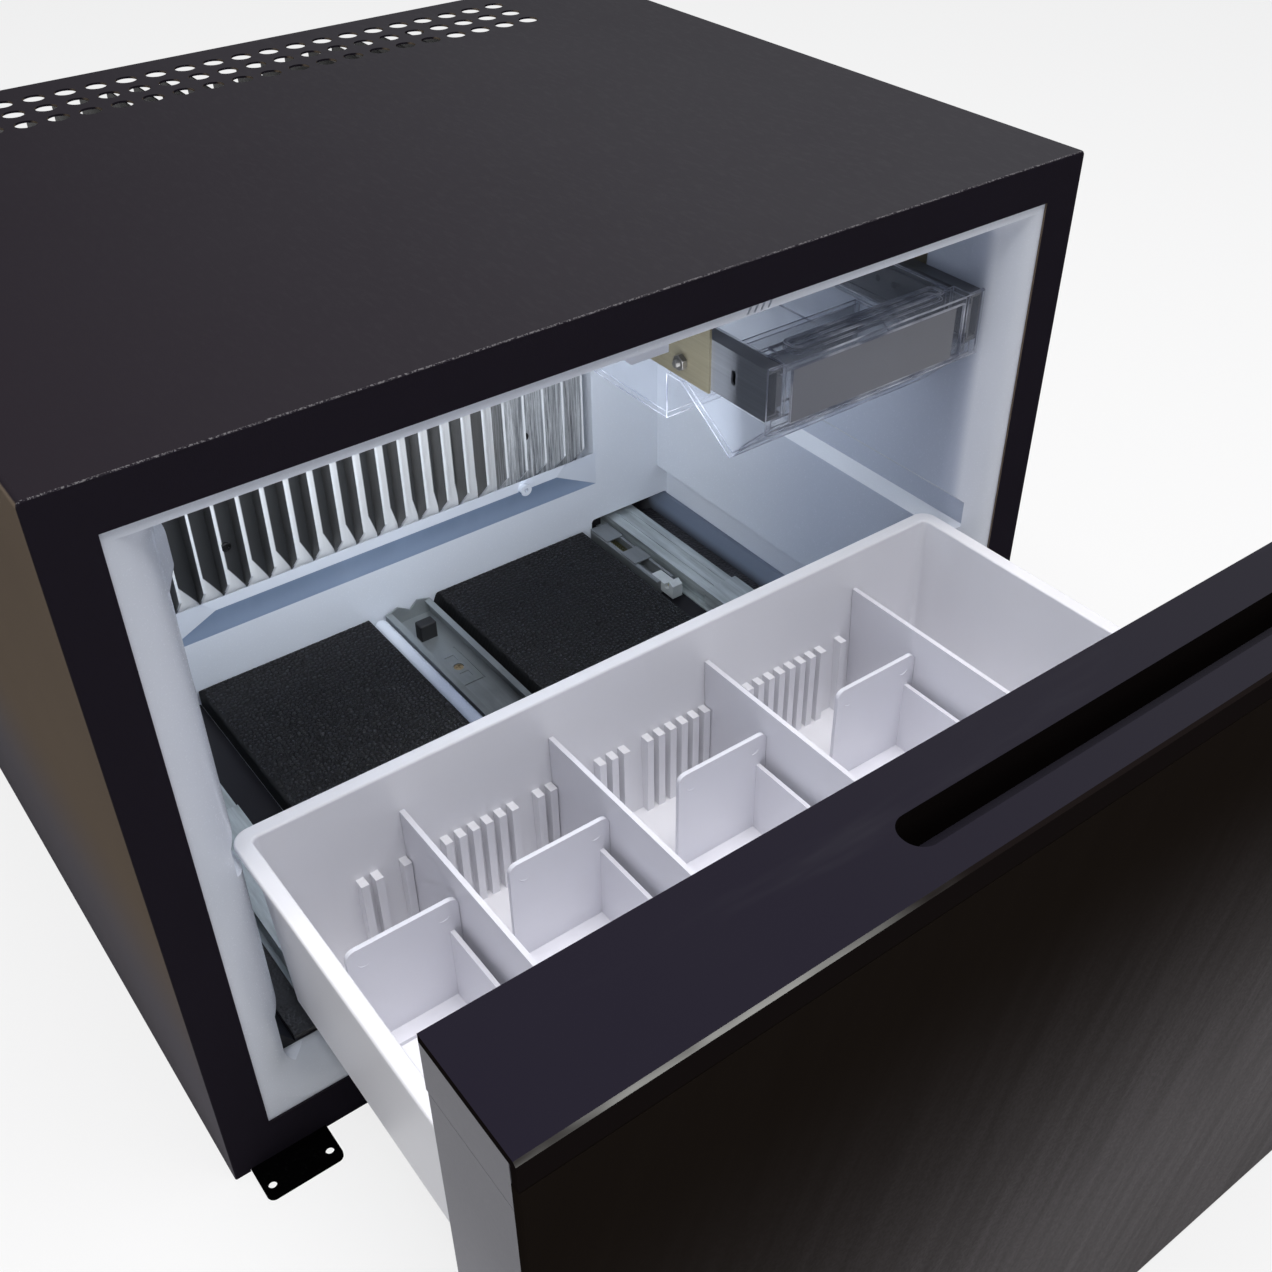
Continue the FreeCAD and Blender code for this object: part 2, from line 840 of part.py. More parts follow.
liner.add("XZ", front + S.skin, mouth_back,
          rect(-mouth_half - S.mouth_lap, mouth_half + S.mouth_lap, S.liner_ceiling,
               top - S.skin - S.back_sheet))
slot_low = S.liner_ceiling + S.slot_edge
slot_high = slot_low + S.slot_height
slots = liner.cut("XZ", front - S.overrun, front + S.skin + S.slot_deep,
                  [(S.slot_across, slot_low), (S.slot_across + S.slot_width, slot_low),
                   (S.slot_across + S.slot_width + S.slot_lean, slot_high),
                   (S.slot_across + S.slot_lean, slot_high)])
liner.row(slots, "X", 4, S.slot_step)
boss_crown = (front + S.boss_front + S.boss_slope, front + S.boss_back - S.boss_slope,
              S.boss_low + S.boss_slope, S.boss_high - S.boss_slope)
liner.loft("AdditiveLoft", "YZ",
           (-S.liner_half - wall, Round(front + S.boss_front, front + S.boss_back, S.boss_low,
                                        S.boss_high, S.boss_round)),
           (-S.liner_half + S.boss_out, Round(*boss_crown, S.boss_round / 2)))
liner.cut("XZ", front + S.groove_start, tub_back, tub_outline(size(0)))
liner.cut("XZ", tub_back - S.overrun, front + S.recess_back,
          Round(-S.recess_half, S.recess_half, S.recess_low, S.recess_high, S.recess_round))
niche_far = front + S.niche_back
for near, far in ((S.niche_in, S.foot_groove_half), (-S.foot_groove_half, -S.niche_in)):
    liner.add("XZ", tub_back, niche_far + wall,
              rect(near - wall, far + wall, S.liner_floor - wall, S.niche_high + wall))
    liner.cut("XZ", tub_back - S.overrun, niche_far,
              Round(near, far, S.liner_floor, S.niche_high, S.niche_round))
    liner.cut("XZ", tub_back - S.overrun, niche_far,
              rect(near, far, S.liner_floor, S.niche_high - S.niche_round))
mid_left = S.mid_across - S.mid_half
mid_right = S.mid_across + S.mid_half
ridge_right = mid_left - S.slide_play
ridge_left = ridge_right - S.ridge_width
ridge_end = front + S.slide_front + S.slide_length
ridge_top = S.liner_floor + S.mid_height
liner.add("XY", S.liner_floor - wall / 2, ridge_top,
          Round(ridge_left, ridge_right, mouth_back, ridge_end, S.ridge_width * end_share))
liner.round(S.ridge_round, lambda b: same(b.ZMin, ridge_top) and same(b.ZMax, ridge_top)
            and b.XMax < 0 and b.XMin > (ridge_left - S.skin).value)

# Foam between the casing and the liner, and the sheet that closes it at the back.
foam_back = front + S.box_depth
tub_shapes = (
    (mouth_back, tub_back + wall, rect(-S.liner_half - wall, S.liner_half + wall,
                                       S.liner_floor - wall, S.liner_ceiling + wall)),
    (mouth_back, tub_back + wall, tub_outline(wall)),
    (tub_back, front + S.recess_back + wall,
     rect(-S.recess_half - wall, S.recess_half + wall, S.recess_low - wall,
          S.recess_high + wall)),
    (tub_back, niche_far + wall,
     rect(S.niche_in - wall, S.foot_groove_half + wall, S.liner_floor - wall,
          S.niche_high + wall)),
    (tub_back, niche_far + wall,
     rect(-S.foot_groove_half - wall, -S.niche_in + wall, S.liner_floor - wall,
          S.niche_high + wall)),
)
foam = Piece("foam_insulation")
foam.add("XZ", mouth_back, foam_back, rect(-inside, inside, S.skin, top - S.skin))
for near, far, outline in tub_shapes:
    foam.cut("XZ", near, far, outline)
for near, far in seats:
    foam.cut("XZ", mouth_back - S.overrun, bracket_rear + seat_wall,
             rect(near - seat_wall, far + seat_wall, 0, seat_high))
block_sheet = block("back_plate", -inside, inside, foam_back, foam_back + S.back_sheet,
                    S.skin, top - S.skin - S.hem_top)
keep(block_sheet, "back_plate")

# Evaporator: a plate with a row of upright fins, bevelled at their lower front corners.
evap = Piece("evaporator_fins")
evap_half = S.recess_half - S.evap_inset
evap_back = front + S.recess_back
evap_low = S.evap_low
evap_high = S.recess_high - S.evap_inset
evap.add("XZ", evap_back - S.evap_plate, evap_back,
         Round(-evap_half, evap_half, evap_low, evap_high, S.recess_round - S.evap_inset))
fin_root = evap_back - S.evap_plate
fin_front = fin_root - S.fin_depth
fin_first = S.fin_last - S.fin_step * (FIN_COUNT - 1)
fin = evap.add("YZ", fin_first - S.fin_sheet / 2, fin_first + S.fin_sheet / 2,
               [(fin_root, evap_low), (fin_root, evap_high),
                (fin_front, evap_high - S.fin_tip_high), (fin_front, evap_low + S.fin_tip_high)])
evap.row(fin, "X", FIN_COUNT, S.fin_step)

# Drip gutter: a shallow trough under the fins.  Its upright lip stands in front of them, its
# underside and its slanted ends run back to the wall, and a drain boss stands on the lip.
gutter = Piece("drip_gutter")
gutter_front = tub_back - S.gutter_out
lip_low = S.gutter_high - S.gutter_lip
lip_half = S.gutter_half - S.gutter_lean
gutter.loft("AdditiveLoft", "XZ",
            (gutter_front, mirrored([(lip_half, lip_low), (S.gutter_half, S.gutter_high)])),
            (tub_back, mirrored([(S.gutter_rear_half, S.gutter_low),
                                 (S.gutter_rear_half, S.gutter_rear_high)])))
hollow_rear = S.gutter_rear_half - S.gutter_rise
open_top = S.gutter_high + S.overrun
gutter.loft("SubtractiveLoft", "XZ",
            (gutter_front + S.gutter_wall, mirrored([(lip_half, lip_low + S.gutter_wall),
                                                     (S.gutter_half, open_top)])),
            (tub_back, mirrored([(hollow_rear, S.gutter_low + S.gutter_rise),
                                 (hollow_rear, open_top)])))
gutter.add("XZ", gutter_front - S.drain_out, gutter_front + S.gutter_wall,
           Circle(S.drain_across, S.drain_up, S.drain_radius))
gutter.cut("XZ", gutter_front - S.drain_out - S.overrun, gutter_front,
           Circle(S.drain_across, S.drain_up, S.drain_bore))

# Ceiling housing: the stepped white cover of the lamp and the control.
lamp = Piece("ceiling_housing")
ceiling = S.liner_ceiling
lamp_face = front + S.lamp_front
lamp.add("XZ", lamp_face, lamp_face + S.lamp_deep,
         [(-S.lamp_left, ceiling), (-S.lamp_left + S.lamp_drop, ceiling - S.lamp_drop),
          (S.lamp_low_left - S.lamp_slope, ceiling - S.lamp_drop),
          (S.lamp_low_left, ceiling - S.lamp_low_drop),
          (S.lamp_low_right, ceiling - S.lamp_low_drop),
          (S.lamp_low_right, ceiling - S.lamp_drop),
          (S.lamp_right - S.lamp_drop, ceiling - S.lamp_drop), (S.lamp_right, ceiling)])

# Floor pads: grained black covers on either side of the middle slide.
floor = S.liner_floor
play = S.slide_play
pad_back = tub_back - S.pad_gap


def floor_pad(label, left, right, left_slope, right_slope):
    pad = Piece(label)
    pad_top = floor + S.pad_height
    pad.add("XZ", front + S.pad_front, pad_back,
            [(left, floor), (right, floor), (right - right_slope, pad_top),
             (left + left_slope, pad_top)])
    pad.round(S.pad_round, lambda b: same(b.ZMin, pad_top) and same(b.ZMax, pad_top))


floor_pad("floor_pad_left", -S.pad_outer, ridge_left - S.slide_play, size(0), size(0))
floor_pad("floor_pad_right", mid_right + S.pad_gap, S.pad_outer, S.pad_slope, size(0))

# Side trays: black pans under the outer slides and the soft-closing unit, with a raised rim
# along the wall that runs round the rear corner.
pan_in = S.pad_outer + play
tray_out = S.foot_groove_half - play
niche_wall = niche_far - play
pan_front = front + S.tray_front
rim_high = floor + S.tray_rim
pan_low = floor + S.pan_sheet
side_tray = Piece("side_tray_right")
side_tray.add("XY", floor, rim_high, rect(pan_in, tray_out, pan_front, pad_back))
side_tray.add("XY", floor, rim_high, rect(S.niche_in + play, tray_out, pad_back, niche_wall))
side_tray.round(S.pan_round, lambda b: runs(b, "Z") and same(b.XMin, tray_out)
                and same(b.YMin, niche_wall))
rim_in = tray_out - S.tray_rim_wall
rim_rear = niche_wall - S.tray_rim_wall
pan_hollow_round = S.pan_round - S.tray_rim_wall
side_tray.loft("SubtractiveLoft", "XY",
               (pan_low, Round(pan_in - S.pan_round, rim_in - S.tray_rim_slope,
                               pan_front - S.pan_round, rim_rear, pan_hollow_round)),
               (rim_high, Round(pan_in - S.pan_round, rim_in, pan_front - S.pan_round, rim_rear,
                                pan_hollow_round)))
mirror(side_tray.body, "side_tray_left")
slide_foot = S.side_across + S.side_half + S.side_foot
mat_left = slide_foot + play
mat_right = rim_in - S.tray_rim_slope - play
mats = [block("side_mat", mat_left, mat_right, pan_front + play, rim_rear - S.mat_rear, pan_low,
              pan_low + S.mat_high),
        block("side_mat", -mat_right, -mat_left, pan_front + play, rim_rear - S.mat_rear, pan_low,
              pan_low + S.mat_high)]
keep(gather("side_pads", mats), "side_pads")

# Telescopic slides.  The members are placed with the drawer open: the middle members have
# gone half as far as the drawer.
sheet_t = S.slide_sheet
opened = S.drawer_open
door_back = front - S.closed_gap - opened
slide_start = front + S.slide_front
slide_end = slide_start + S.slide_length
mid_end = slide_end - S.mid_rear_short


def at_middle(points):
    """A symmetric outline about the middle slide's own centre line."""
    return [(S.mid_across + u, v) for u, v in mirrored(points)]


def channel(half_width, low, high, lip):
    """An open channel whose upper edges turn inward."""
    return at_middle([
        (half_width, low), (half_width, high), (half_width - lip, high),
        (half_width - lip, high - sheet_t), (half_width - sheet_t, high - sheet_t),
        (half_width - sheet_t, low + sheet_t)])


mid_top = floor + S.mid_height
mid = S.mid_across
mid_fixed = Piece("slide_fixed_centre")
mid_fixed.add("XZ", slide_start, slide_end, channel(S.mid_half, floor, mid_top, S.mid_lip))
stop_front = mid_end + S.stop_gap
screw_row = stop_front - S.stop_width * 3
tab_top = mid_top + S.tab_rise
mid_fixed.add("XZ", slide_end - sheet_t, slide_end,
              [(mid_left, floor), (mid_right, floor), (mid_right, mid_top),
               (mid + S.tab_notch, tab_top), (mid + sheet_t, mid_top - S.tab_rise),
               (mid - S.tab_notch, tab_top), (mid_left, mid_top)])
head = S.screw_head
slit_in = S.slit_half - S.slit_width
slit_near = screw_row - S.slit_length / 2
slit_far = screw_row + S.slit_length / 2
punched = [(mid - S.slit_half, slit_near), (mid + S.slit_half, slit_near),
           (mid + S.slit_half, slit_far), (mid + slit_in, slit_far),
           (mid + slit_in, slit_near + S.slit_width), (mid - slit_in, slit_near + S.slit_width),
           (mid - slit_in, slit_far), (mid - S.slit_half, slit_far)]
mid_fixed.cut("XY", floor + sheet_t / 2, floor + sheet_t + S.overrun, punched,
              rect(mid - head, mid + head, screw_row + head * 2, screw_row + head * 4),
              rect(mid - head, mid + head, screw_row - head * 4, screw_row - head * 2))
mid_fixed.cut("XY", floor - S.overrun, floor + sheet_t + S.overrun,
              Circle(mid, screw_row, head + S.stop_gap),
              Circle(mid, slide_start + S.stop_width * 3, head + S.stop_gap))
inner_half = S.mid_half - sheet_t - play
inner_low = floor + sheet_t + play
inner_high = mid_top - sheet_t - play
half_open = opened / 2
mid_member = Piece("slide_middle_centre")
mid_member.add("XZ", slide_start - half_open, mid_end - half_open,
               channel(inner_half, inner_low, inner_high, S.mid_lip))
neck = inner_half - S.mid_lip - play
bead = inner_half - sheet_t - play
carrier_top = floor + S.side_height + (sheet_t + play) * 2
carrier_low = inner_low + sheet_t + play
bead_top = inner_high - sheet_t - play
mid_drawer = Piece("slide_drawer_centre")
mid_drawer.add("XZ", door_back, mid_end - opened,
               at_middle([(neck - sheet_t, carrier_low), (bead, carrier_low), (bead, bead_top),
                          (neck, bead_top), (neck, carrier_top)]))
mid_drawer.cut("XZ", door_back - S.overrun, mid_end - opened + S.overrun,
               rect(mid - neck + sheet_t, mid + neck - sheet_t, carrier_low - S.overrun,
                    carrier_top - sheet_t))

# Rubber stop that the middle slide's members run up against.
stop = Piece("slide_stop")
stop.add("XY", floor + sheet_t, floor + sheet_t + S.stop_height,
         Round(mid - S.stop_width / 2, mid + S.stop_width / 2, stop_front,
               stop_front + S.stop_deep, sheet_t))
stop.round(sheet_t, lambda b: same(b.ZMin, floor + sheet_t + S.stop_height))


def hat(half_width, low, high, foot=None):
    """A bent sheet that is closed above and open below, with or without outward feet."""
    outer = [(half_width - sheet_t, low)]
    if foot is not None:
        outer += [(half_width + foot, low), (half_width + foot, low + sheet_t),
                  (half_width, low + sheet_t)]
    else:
        outer += [(half_width, low)]
    outer += [(half_width, high)]
    right = [(S.side_across + u, v) for u, v in outer]
    left = [(S.side_across - u, v) for u, v in reversed(outer)]
    under = [(S.side_across - half_width + sheet_t, high - sheet_t),
             (S.side_across + half_width - sheet_t, high - sheet_t)]
    return right + left + under


side_top = floor + S.side_height
side_end = slide_start + S.side_length
fixed = Piece("slide_fixed_right")
fixed.add("XZ", slide_start, side_end, hat(S.side_half, pan_low, side_top, S.side_foot))
for side in (-1, 1):
    groove = S.side_across + side * S.side_groove_step
    fixed.cut("XZ", slide_start - S.overrun, side_end + S.overrun,
              rect(groove - S.side_groove / 2, groove + S.side_groove / 2,
                   side_top - S.side_groove_deep, side_top + S.overrun))
mirror(fixed.body, "slide_fixed_left")
member = Piece("slide_middle_right")
member.add("XZ", slide_start - half_open, side_end - half_open,
           hat(S.side_half + play + sheet_t, floor + S.side_lift, side_top + play + sheet_t))
mirror(member.body, "slide_middle_left")
runner = Piece("slide_drawer_right")
runner.add("XZ", door_back, side_end - opened,
           hat(S.side_half + (play + sheet_t) * 2, floor + S.side_lift, carrier_top))
mirror(runner.body, "slide_drawer_left")

# Soft-closing unit beside the right slide: a trough that holds the spring and guides the catch.
soft_right = S.side_across * 2 - slide_foot - play
soft_left = soft_right - S.soft_width
soft_start = slide_end - S.soft_length
soft_top = floor + S.soft_height
trough_low = floor + S.soft_floor
soft = Piece("softclose_housing")
soft.add("XY", pan_low, soft_top, rect(soft_left, soft_right, soft_start, slide_end))
soft.cut("XY", trough_low, soft_top + S.overrun,
         rect(soft_left + S.soft_wall, soft_right - S.soft_wall, soft_start - S.overrun,
              slide_end - S.soft_back_wall))
soft.bevel(S.edge_round, lambda b: same(b.ZMin, soft_top) and same(b.ZMax, soft_top)
           and runs(b, "Y") and (same(b.XMin, soft_left) or same(b.XMin, soft_right)))
cover_start = soft_start + S.cover_start
for near, far in ((slide_end - S.cover_rear, slide_end), (cover_start, cover_start + S.cover_front)):
    soft.add("XY", soft_top, soft_top + S.cover_sheet, rect(soft_left, soft_right, near, far))
catch_play = S.stop_gap
catch_left = soft_left + S.soft_wall + catch_play
catch_right = soft_right - S.soft_wall - catch_play
catch_low = trough_low + catch_play
catch_front = soft_start - S.catch_start
catch_top = catch_low + S.catch_height
catch = Piece("softclose_catch")
catch.add("YZ", catch_left, catch_right,
          [(catch_front, catch_low), (catch_front + S.catch_length, catch_low),
           (catch_front + S.catch_length, catch_top - S.catch_hook),
           (catch_front + S.catch_hook * 2, catch_top - S.catch_hook),
           (catch_front + S.catch_hook * 2, catch_low + S.catch_hook),
           (catch_front + S.catch_hook, catch_low + S.catch_hook),
           (catch_front + S.catch_hook, catch_top), (catch_front, catch_top - S.catch_hook / 2)])


def coil_spring(name, x, y0, z, radius, wire, length, turns):
    """A wound spring along Y, its wire laid as half turns that climb evenly."""
    pitch = length / turns
    edges = []
    for k in range(turns * 2):
        spots = []
        for step in (0, 0.5, 1):
            angle = math.pi * (k + step)
            spots.append(FreeCAD.Vector(x + radius * math.cos(angle), y0 + pitch * (k + step) / 2,
                                        z + radius * math.sin(angle)))
        edges.append(Part.Arc(*spots).toShape())
    start = edges[0].Curve.value(edges[0].FirstParameter)
    facing = edges[0].tangentAt(edges[0].FirstParameter)
    ring = Part.Wire(Part.Circle(start, facing, wire).toShape())
    spring = doc.addObject("Part::Feature", name)
    spring.Shape = Part.Wire(edges).makePipeShell([ring], True, False)
    print(name, "gap between turns", round(pitch - 2 * wire, 3))
    return spring


spring_x = (soft_left + soft_right) / 2
spring_y = slide_end - S.soft_back_wall - S.soft_spring_length - S.soft_wire
spring_z = trough_low + S.soft_spring_radius + S.soft_wire
keep(coil_spring("softclose_spring", spring_x.value, spring_y.value, spring_z.value,
                 S.soft_spring_radius.value, S.soft_wire.value, S.soft_spring_length.value,
                 SPRING_TURNS), "softclose_spring")

# Snack tray under the ceiling: hangers, rails, runners and the clear tray with its front.
hanger_left = S.snack_left - S.hanger_sheet
rail_top = S.rail_low + S.rail_height
rail_start = front + S.snack_front + S.snack_wall + S.stop_gap
hanger_face = front + S.hanger_front
hanger_rear = front + S.hanger_back
bolt_y = hanger_face + S.bolt_back
bolt_z = S.hanger_low + S.bolt_up


def snack_hanger(label, plate_in, plate_out, lift):
    hanger = Piece(label)
    hanger.add("YZ", plate_in, plate_out, rect(hanger_face, hanger_rear, S.hanger_low, lift))
    hanger.cut("YZ", plate_in - S.overrun, plate_out + S.overrun,
               Circle(bolt_y, bolt_z, S.bolt_shank))
    return hanger


hanger_lift = S.liner_ceiling - S.lamp_drop
hanger = snack_hanger("tray_bracket_left", hanger_left, S.snack_left, hanger_lift)
hanger.add("XY", hanger_lift - S.hanger_sheet, hanger_lift,
           rect(hanger_left - S.hanger_flange, S.snack_left, hanger_face, hanger_rear))
snack_hanger("tray_bracket_right", S.snack_right, S.snack_right + S.hanger_sheet,
             S.liner_ceiling - S.liner_corner)


def rail_outline(face, side, width, low, high, lip):
    """An upright channel that opens toward the tray; side is 1 where the tray lies to the right."""
    web = face + side * S.rail_sheet
    rim = face + side * width
    return [(face, low), (rim, low), (rim, low + lip), (rim - side * S.rail_sheet, low + lip),
            (rim - side * S.rail_sheet, low + S.rail_sheet), (web, low + S.rail_sheet),
            (web, high - S.rail_sheet), (rim - side * S.rail_sheet, high - S.rail_sheet),
            (rim - side * S.rail_sheet, high - lip), (rim, high - lip), (rim, high), (face, high)]


# How far in, in lips, the runner's arm to the tray stands from its edges.
arm_share = 1.5
# How much of the sheet the sharp bottom of the tray's trough needs, measured upright.
keel_share = 1.3


def snack_rail(side_name, face, side):
    rail = Piece("tray_rail_" + side_name)
    rail_end = rail_start + S.rail_length
    rail.add("XZ", rail_start, rail_end,
             rail_outline(face, side, S.rail_width, S.rail_low, rail_top, S.rail_lip))
    web_low = face if side > 0 else face - S.rail_sheet
    slot_y = rail_start + S.rail_slot_back
    slot_z = (S.rail_low + rail_top) / 2
    outlines = [Round(slot_y - S.rail_slot_width / 2, slot_y + S.rail_slot_width / 2,
                      slot_z - S.rail_slot_high / 2, slot_z + S.rail_slot_high / 2,
                      S.rail_slot_width * end_share)]
    bores = [Circle(slot_y + S.rail_slot_high * 2 + S.rail_bore_step * k, slot_z, S.rail_bore / 2)
             for k in (1, 2, 3, 4)]
    rail.cut("YZ", web_low - S.overrun, web_low + S.rail_sheet + S.overrun, *outlines, *bores)
    slider = Piece("tray_runner_" + side_name)
    inset = S.rail_sheet + S.rail_play
    run_face = face + side * inset
    run_width = S.rail_width - inset - S.rail_sheet - S.rail_play
    run_low = S.rail_low + inset
    run_high = rail_top - inset
    out = face + side * (S.rail_width + S.rail_play * 2)
    in_rim = face + side * (inset + run_width)
    arm_low = run_low + S.rail_lip * arm_share
    arm_high = run_high - S.rail_lip * arm_share
    in_web = in_rim - side * S.rail_sheet
    slider.add("XZ", rail_start, rail_end - S.rail_bore,
               [(run_face, run_low), (in_rim, run_low), (in_rim, arm_low), (out, arm_low),
                (out, arm_high), (in_rim, arm_high), (in_rim, run_high), (run_face, run_high),
                (run_face, run_high - S.rail_sheet), (in_web, run_high - S.rail_sheet),
                (in_web, run_low + S.rail_sheet), (run_face, run_low + S.rail_sheet)])
    low_x, high_x = (run_face, out) if side > 0 else (out, run_face)
    slider.cut("YZ", low_x - S.overrun, high_x + S.overrun, *bores)
    return out


tray_left = snack_rail("left", S.snack_left, 1)
tray_right = snack_rail("right", S.snack_right, -1)

snack_face = front + S.snack_front
snack = Piece("snack_tray")
thick = S.snack_wall
body_front = snack_face + thick + S.stop_gap
body_back = snack_face + S.snack_back
low_left = S.snack_left + S.snack_body_inset
low_right = S.snack_right - S.snack_body_inset
ridge_front = snack_face + S.snack_ridge_front
ridge_back = snack_face + S.snack_ridge_back
v_bottom = snack_face + S.snack_v_back
shoulder = S.rail_low - S.stop_gap
snack.add("YZ", low_left, low_right,
          [(body_front, shoulder), (body_front, S.snack_low), (v_bottom, S.snack_v_low),
           (ridge_front, S.snack_low - thick), (ridge_back, S.snack_low - thick),
           (ridge_back, S.snack_v_low), (body_back, S.snack_v_low), (body_back, shoulder)])
tray_rim = rail_top - S.rail_sheet
hood_back = snack_face + S.snack_hood + S.stop_gap * 2
snack.add("YZ", tray_left, tray_right, rect(hood_back, body_back, shoulder, tray_rim))
snack.cut("YZ", low_left + thick, low_right - thick,
          [(body_front + thick, S.snack_low + thick / 2), (v_bottom, S.snack_v_low + thick * keel_share),
           (ridge_front, S.snack_low), (ridge_back + thick, S.snack_low),
           (ridge_back + thick, S.snack_v_low + thick), (body_back - thick, S.snack_v_low + thick),
           (body_back - thick, shoulder - thick), (body_front + thick, shoulder - thick)])
snack.cut("XY", shoulder - thick - S.overrun, tray_rim + S.overrun,
          rect(tray_left + thick, tray_right - thick, hood_back + thick, body_back - thick))

hood = Piece("tray_front")
hood_low = shoulder + S.stop_gap
hood.add("XZ", snack_face, snack_face + thick,
         rect(S.snack_left, S.snack_right, S.snack_low, S.snack_top))
hood.add("XZ", snack_face + thick / 2, snack_face + S.snack_hood,
         rect(tray_left, tray_right, hood_low, S.snack_top))
hood.cut("XZ", snack_face + thick, snack_face + S.snack_hood + S.overrun,
         rect(tray_left + thick, tray_right - thick, hood_low - S.overrun, S.snack_top - thick))
ledge_back = snack_face + S.snack_ledge
panel_left = S.snack_left + S.snack_post
panel_right = S.snack_right - S.snack_post
hood.add("XY", S.snack_top - thick / 2, S.snack_top,
         rect(panel_left, panel_right, snack_face + thick, ledge_back))
lip_left = panel_left + S.snack_lip_side
lip_right = panel_right - S.snack_lip_side * 2
lip_front = snack_face + S.snack_lip_back
lip_rear = lip_front + S.snack_lip_deep
lip_wall = S.snack_lip_wall
hood.add("XY", S.snack_top - thick / 2, S.snack_top + S.snack_lip,
         Round(lip_left, lip_right, lip_front, lip_rear, S.snack_lip_round),
         Round(lip_left + lip_wall, lip_right - lip_wall, lip_front + lip_wall,
               lip_rear - lip_wall, S.snack_lip_round - lip_wall))
recess_low = S.snack_low + S.panel_margin
recess_high = S.snack_top - S.panel_top_margin
panel_room = S.panel_sheet + S.panel_play
hood.cut("XZ", snack_face - S.overrun, snack_face + panel_room,
         rect(panel_left, panel_right, recess_low, recess_high))
hood.round(S.edge_round, lambda b: runs(b, "Z") and same(b.YMin, snack_face)
           and (same(b.XMin, S.snack_left) or same(b.XMax, S.snack_right)))
keep(block("tray_panel", panel_left + S.panel_play, panel_left + S.panel_width,
           snack_face + S.panel_play, snack_face + panel_room,
           recess_low + S.panel_play, recess_high - S.panel_play), "tray_panel")


def bolt(name, axis_x, length):
    """A hex head with its shank, across the hanger and the rail's web."""
    head = rod(name + "_head", "X", axis_x, bolt_y, bolt_z, S.bolt_radius, S.bolt_high, corners=6)
    shank = rod(name + "_shank", "X", axis_x + S.bolt_high, bolt_y, bolt_z,
                S.bolt_shank - S.panel_play, length)
    return join(name, [head, shank])


left_bolt = bolt("left_bolt", hanger_left - S.bolt_high, S.hanger_sheet)
right_rivet = rod("right_rivet", "X", S.snack_right, bolt_y, bolt_z, S.bolt_shank - S.panel_play,
                  S.hanger_sheet)
keep(gather("tray_bolts", [left_bolt, right_rivet]), "tray_bolts")

# Drawer front: dark panel, light grey shell, insulated core, grip housing and top cap.
door_half = half - S.door_inset
door_front = door_back - S.door_thick
panel_back = door_front + S.door_panel
cap_low = top - S.cap_sheet
grip_low = cap_low - S.grip_box
seam = S.door_seam
front_panel = Piece("door_front_panel")
panel_top = cap_low - S.cap_lip - seam
front_panel.add("XZ", door_front, panel_back, rect(-door_half, door_half, S.door_low, panel_top))
front_panel.bevel(S.edge_round / 2, lambda b: same(b.YMin, door_front) and same(b.YMax, door_front))
shell = Piece("door_shell")
shell_top = grip_low - seam
wall_in = door_half - S.door_wall
shell.add("XZ", panel_back, door_back,
          [(-door_half, S.door_low), (door_half, S.door_low), (door_half, shell_top),
           (wall_in, shell_top), (wall_in, S.door_low + S.door_wall),
           (-wall_in, S.door_low + S.door_wall), (-wall_in, shell_top), (-door_half, shell_top)])
shell.round(S.edge_round, lambda b: runs(b, "Z") and same(b.YMax, door_back)
            and (same(b.XMin, door_half) or same(b.XMax, -door_half)))
keep(block("door_liner", -wall_in, wall_in, panel_back, door_back, S.door_low + S.door_wall,
           shell_top), "door_liner")
grip_rear = door_back - S.grip_back
grip_face = grip_rear - S.grip_width


def grip_outline(grow, rise):
    """The grip's hollow in section, with a slanted front, grown outward and cut off at a height."""
    floor_up = cap_low - S.grip_deep - grow
    return [(grip_rear + grow, rise), (grip_rear + grow, floor_up),
            (grip_rear - S.grip_bottom - grow, floor_up), (grip_face - grow, cap_low),
            (grip_face - grow, rise)]


grip_room = S.grip_wall + seam
grip = Piece("handle_housing")
grip.add("XZ", panel_back, door_back, rect(-door_half, door_half, grip_low, cap_low))
grip.cut("YZ", -S.grip_half - grip_room, S.grip_half + grip_room,
         grip_outline(grip_room, cap_low + S.overrun))
cap = Piece("door_top_cap")
cap.add("XY", cap_low, top, rect(-door_half, door_half, door_front, door_back))
cap.add("XZ", door_front, door_front + S.cap_lip_sheet,
        rect(-door_half, door_half, cap_low - S.cap_lip, cap_low))
cap.add("YZ", -S.grip_half - S.grip_wall, S.grip_half + S.grip_wall,
        grip_outline(S.grip_wall, cap_low + S.cap_sheet / 2))
cap.cut("YZ", -S.grip_half, S.grip_half,
        [(grip_rear, cap_low), (grip_rear, cap_low - S.grip_deep),
         (grip_rear - S.grip_bottom, cap_low - S.grip_deep), (grip_face, cap_low)])
cap.cut("XY", cap_low, top + S.overrun,
        Round(-S.grip_half, S.grip_half, grip_face, grip_rear, S.grip_width * end_share))
cap.bevel(S.cap_bevel, lambda b: runs(b, "X") and same(b.YMin, door_front) and same(b.ZMin, top))

# Magnetic gasket on the back of the drawer front, facing the border.
gasket_face = door_back + S.closed_gap - S.gasket_play
g_out = door_half - S.gasket_inset
g_in = g_out - S.gasket_width
g_low = S.door_low + S.gasket_inset
g_high = top - S.gasket_top_inset
gasket = Piece("door_gasket")
gasket.add("XZ", door_back, gasket_face,
           Round(-g_out, g_out, g_low, g_high, S.gasket_width),
           Round(-g_in, g_in, g_low + S.gasket_width, g_high - S.gasket_width,
                 S.gasket_width / 2))
gasket.round(S.gasket_round, lambda b: same(b.YMin, gasket_face) and same(b.YMax, gasket_face))

